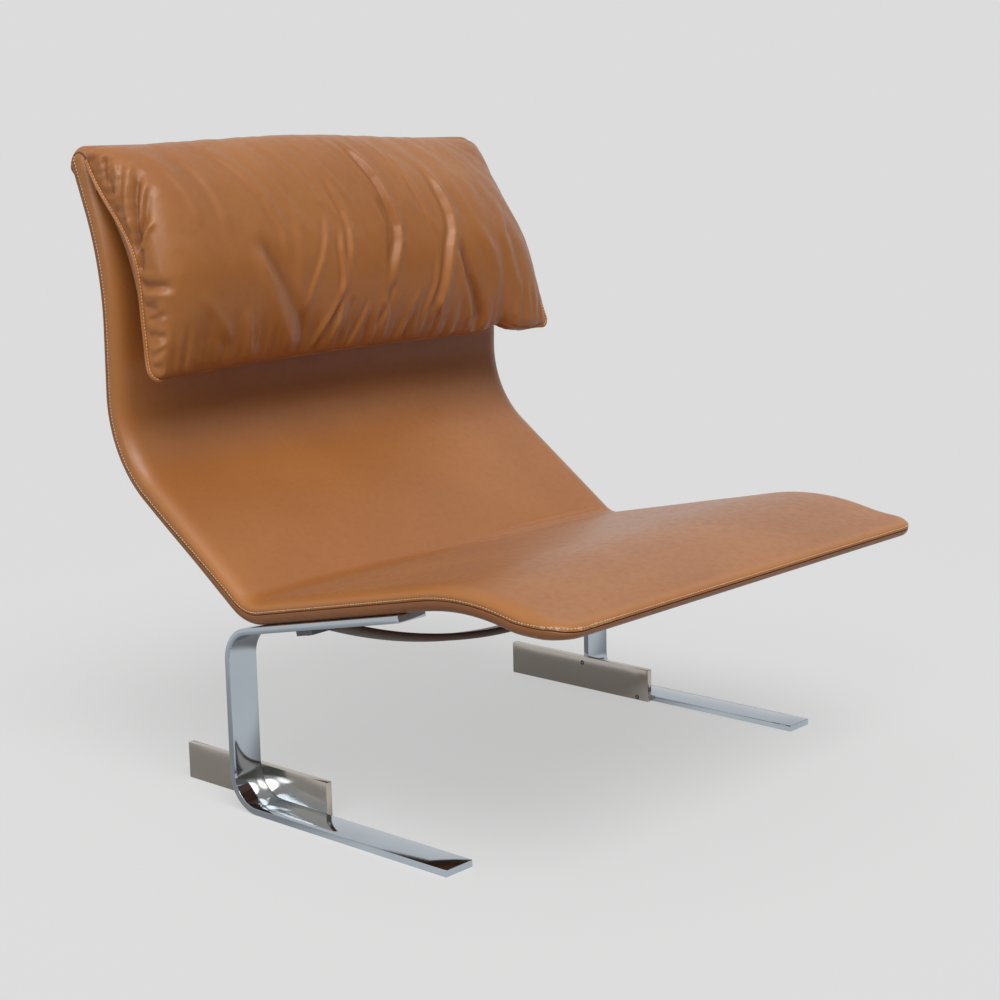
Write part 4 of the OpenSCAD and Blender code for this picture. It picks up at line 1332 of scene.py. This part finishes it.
# Tone of the paper for all rays but the camera's, as a share of the backdrop's
DARK_PAPER = 0.35
WALL_FAR, WALL_LOW, WALL_HIGH = 7.0, -0.1, 3.2
# Name, size in degrees and direction of each lamp
LAMPS = (("soft_lamp", 40, (-0.35, -0.6, 1.0)), ("side_lamp", 30, (-0.9, -0.35, 0.45)))
# The camera's place in metres, and its angles in radians
CAMERA_AT = (-1.8336, -1.6551, 0.8120)
YAW, PITCH, ROLL = 0.834694, 0.187742, -0.019951


def rays(tree, *kinds):
    """1 for light rays of these kinds, and 0 for all others."""
    path = node(tree, "LightPath")
    seen = path.outputs[f"Is {kinds[0]} Ray"]
    for kind in kinds[1:]:
        seen = combined(tree, "MAXIMUM", seen, path.outputs[f"Is {kind} Ray"])
    return seen


def glow(tree, colour):
    return node(tree, "Emission", {"Color": tuple(colour), "Strength": 1.0})


def link(name, data):
    made = bpy.data.objects.new(name, data)
    bpy.context.scene.collection.objects.link(made)
    return made


def build_world(look):
    world = bpy.data.worlds.new("studio")
    bpy.context.scene.world = world
    world.use_nodes = True
    tree = world.node_tree
    tree.nodes.clear()
    shown = node(tree, "Background", {"Color": tuple(look.backdrop), "Strength": 1.0})
    # The light comes from the ceiling, and little of it from the walls and the floor
    way = node(tree, "SeparateXYZ", {"Vector": node(tree, "TexCoord").outputs["Generated"]})
    high = between(tree, way.outputs["Z"], -0.1, 0.75, 0.25 * look.daylight, 1.75 * look.daylight)
    light = node(tree, "Background", {"Color": linear("#ffffff"), "Strength": high})
    seen = rays(tree, "Camera", "Glossy", "Transmission")
    node(tree, "OutputWorld", {"Surface": blend_shaders(tree, seen, light, shown)})


def build_floor(look):
    mesh = bpy.data.meshes.new("floor")
    turns = [2 * math.pi * k / FLOOR_SIDES for k in range(FLOOR_SIDES)]
    ring = [(FLOOR_R * math.cos(a), FLOOR_R * math.sin(a), 0) for a in turns]
    mesh.from_pydata(ring, [], [list(range(FLOOR_SIDES))])
    floor = link("floor", mesh)
    floor.location.z = -0.0002
    # Matte seamless paper. The camera sees it pale and fading into the backdrop, with the
    # chair's shadow; other rays meet a darker paper, so that little light comes from below.
    made, tree, shader, where = new_material("seamless_paper")
    camera = rays(tree, "Camera")
    dark, pale = (tuple(c * share for c in look.backdrop) for share in (DARK_PAPER, look.floor_gain))
    feed(tree, shader, {
        "Roughness": 0.9,
        "Specular IOR Level": 0.0,
        "Base Color": blend_colours(tree, camera, dark, pale),
    })
    away = node(tree, "VectorMath", {0: where}, operation="LENGTH").outputs["Value"]
    # Behind the chair the paper is in shadow, and shows dark in the steel
    depth = node(tree, "SeparateXYZ", {"Vector": where}).outputs["Y"]
    in_steel = between(tree, depth, -0.1, 0.08, 1.0, 0.25)
    least = node(tree, "Mix", {0: camera, 2: in_steel, 3: look.floor_fade}).outputs[0]
    far = between(tree, away, 0.5, 1.6, least, 1.0)
    lit = combined(tree, "MULTIPLY", far, rays(tree, "Camera", "Glossy"))
    surface = blend_shaders(tree, lit, shader, glow(tree, look.backdrop))
    feed(tree, tree.nodes["Material Output"], {"Surface": surface})
    mesh.materials.append(made)


def build_dark_wall(look):
    # The dark side of the studio, as a painted reflection: a sheet that glows dark for reflected rays only
    # and lets all other rays through, so only polished pieces show it
    made, tree, _, _ = new_material("dark_studio_wall")
    clear = node(tree, "BsdfTransparent")
    surface = blend_shaders(tree, rays(tree, "Glossy"), clear, glow(tree, look.dark_wall))
    feed(tree, tree.nodes["Material Output"], {"Surface": surface})
    turns = np.radians(np.arange(170, 336, 15))
    levels = [table(WALL_FAR * np.cos(turns), WALL_FAR * np.sin(turns), z) for z in (WALL_LOW, WALL_HIGH)]
    wall = piece("dark_studio_wall", np.concatenate(levels) / MM, grid_faces(2, len(turns)), made, None)


def build_camera(look):
    eye = bpy.data.cameras.new("camera")
    eye.lens = look.lens
    eye.sensor_width = 36
    eye.clip_end = 50
    ahead = Vector((math.sin(YAW) * math.cos(PITCH), math.cos(YAW) * math.cos(PITCH), -math.sin(PITCH)))
    level = Vector((math.cos(YAW), -math.sin(YAW), 0))
    upright = level.cross(ahead)
    right = level * math.cos(ROLL) + upright * math.sin(ROLL)
    up = upright * math.cos(ROLL) - level * math.sin(ROLL)
    camera = link("camera", eye)
    turned = Matrix((right, up, -ahead)).transposed().to_4x4()
    camera.matrix_world = Matrix.Translation(CAMERA_AT) @ turned
    bpy.context.scene.camera = camera


class CHAIR_OT_studio(bpy.types.Operator):
    """Builds the floor, the light and the camera"""

    bl_idname = "chair.studio"
    bl_label = "Studio"

    def execute(self, context):
        look = settings().studio
        context.scene.view_settings.view_transform = "Standard"
        build_world(look)
        build_floor(look)
        for (name, degrees, way), energy in zip(LAMPS, (look.lamp, look.side_lamp)):
            lamp = bpy.data.lights.new(name, "SUN")
            lamp.energy = energy
            lamp.angle = math.radians(degrees)
            link(name, lamp).rotation_euler = Vector(way).to_track_quat("Z", "Y").to_euler()
        build_dark_wall(look)
        build_camera(look)
        return {"FINISHED"}


STEPS = (
    CHAIR_OT_studio,
    CHAIR_OT_front_leather,
    CHAIR_OT_rear_leather,
    CHAIR_OT_legs,
    CHAIR_OT_fasteners,
    CHAIR_OT_stretcher,
    CHAIR_OT_headrest,
    CHAIR_OT_flap,
    CHAIR_OT_inner_frame,
)


class CHAIR_PT_panel(bpy.types.Panel):
    """Lists the chair's settings and pieces in the sidebar"""

    bl_idname = "CHAIR_PT_panel"
    bl_label = "Lounge chair"
    bl_space_type = "VIEW_3D"
    bl_region_type = "UI"
    bl_category = "Chair"

    def draw(self, context):
        for group in ("leather", "cushion", "steel", "studio"):
            box = self.layout.box()
            box.label(text=group.title())
            values = getattr(context.scene.chair_settings, group)
            for name in values.__annotations__:
                box.prop(values, name)
        for step in STEPS:
            self.layout.operator(step.bl_idname)


CLASSES = (
    LeatherSettings, CushionSettings, SteelSettings, StudioSettings, ChairSettings, *STEPS, CHAIR_PT_panel,
)


def register():
    for cls in CLASSES:
        bpy.utils.register_class(cls)
    bpy.types.Scene.chair_settings = PointerProperty(type=ChairSettings)


def unregister():
    del bpy.types.Scene.chair_settings
    for cls in reversed(CLASSES):
        bpy.utils.unregister_class(cls)


def main():
    register()
    for step in STEPS:
        group, name = step.bl_idname.split(".")
        getattr(getattr(bpy.ops, group), name)()


if __name__ == "__main__":
    main()
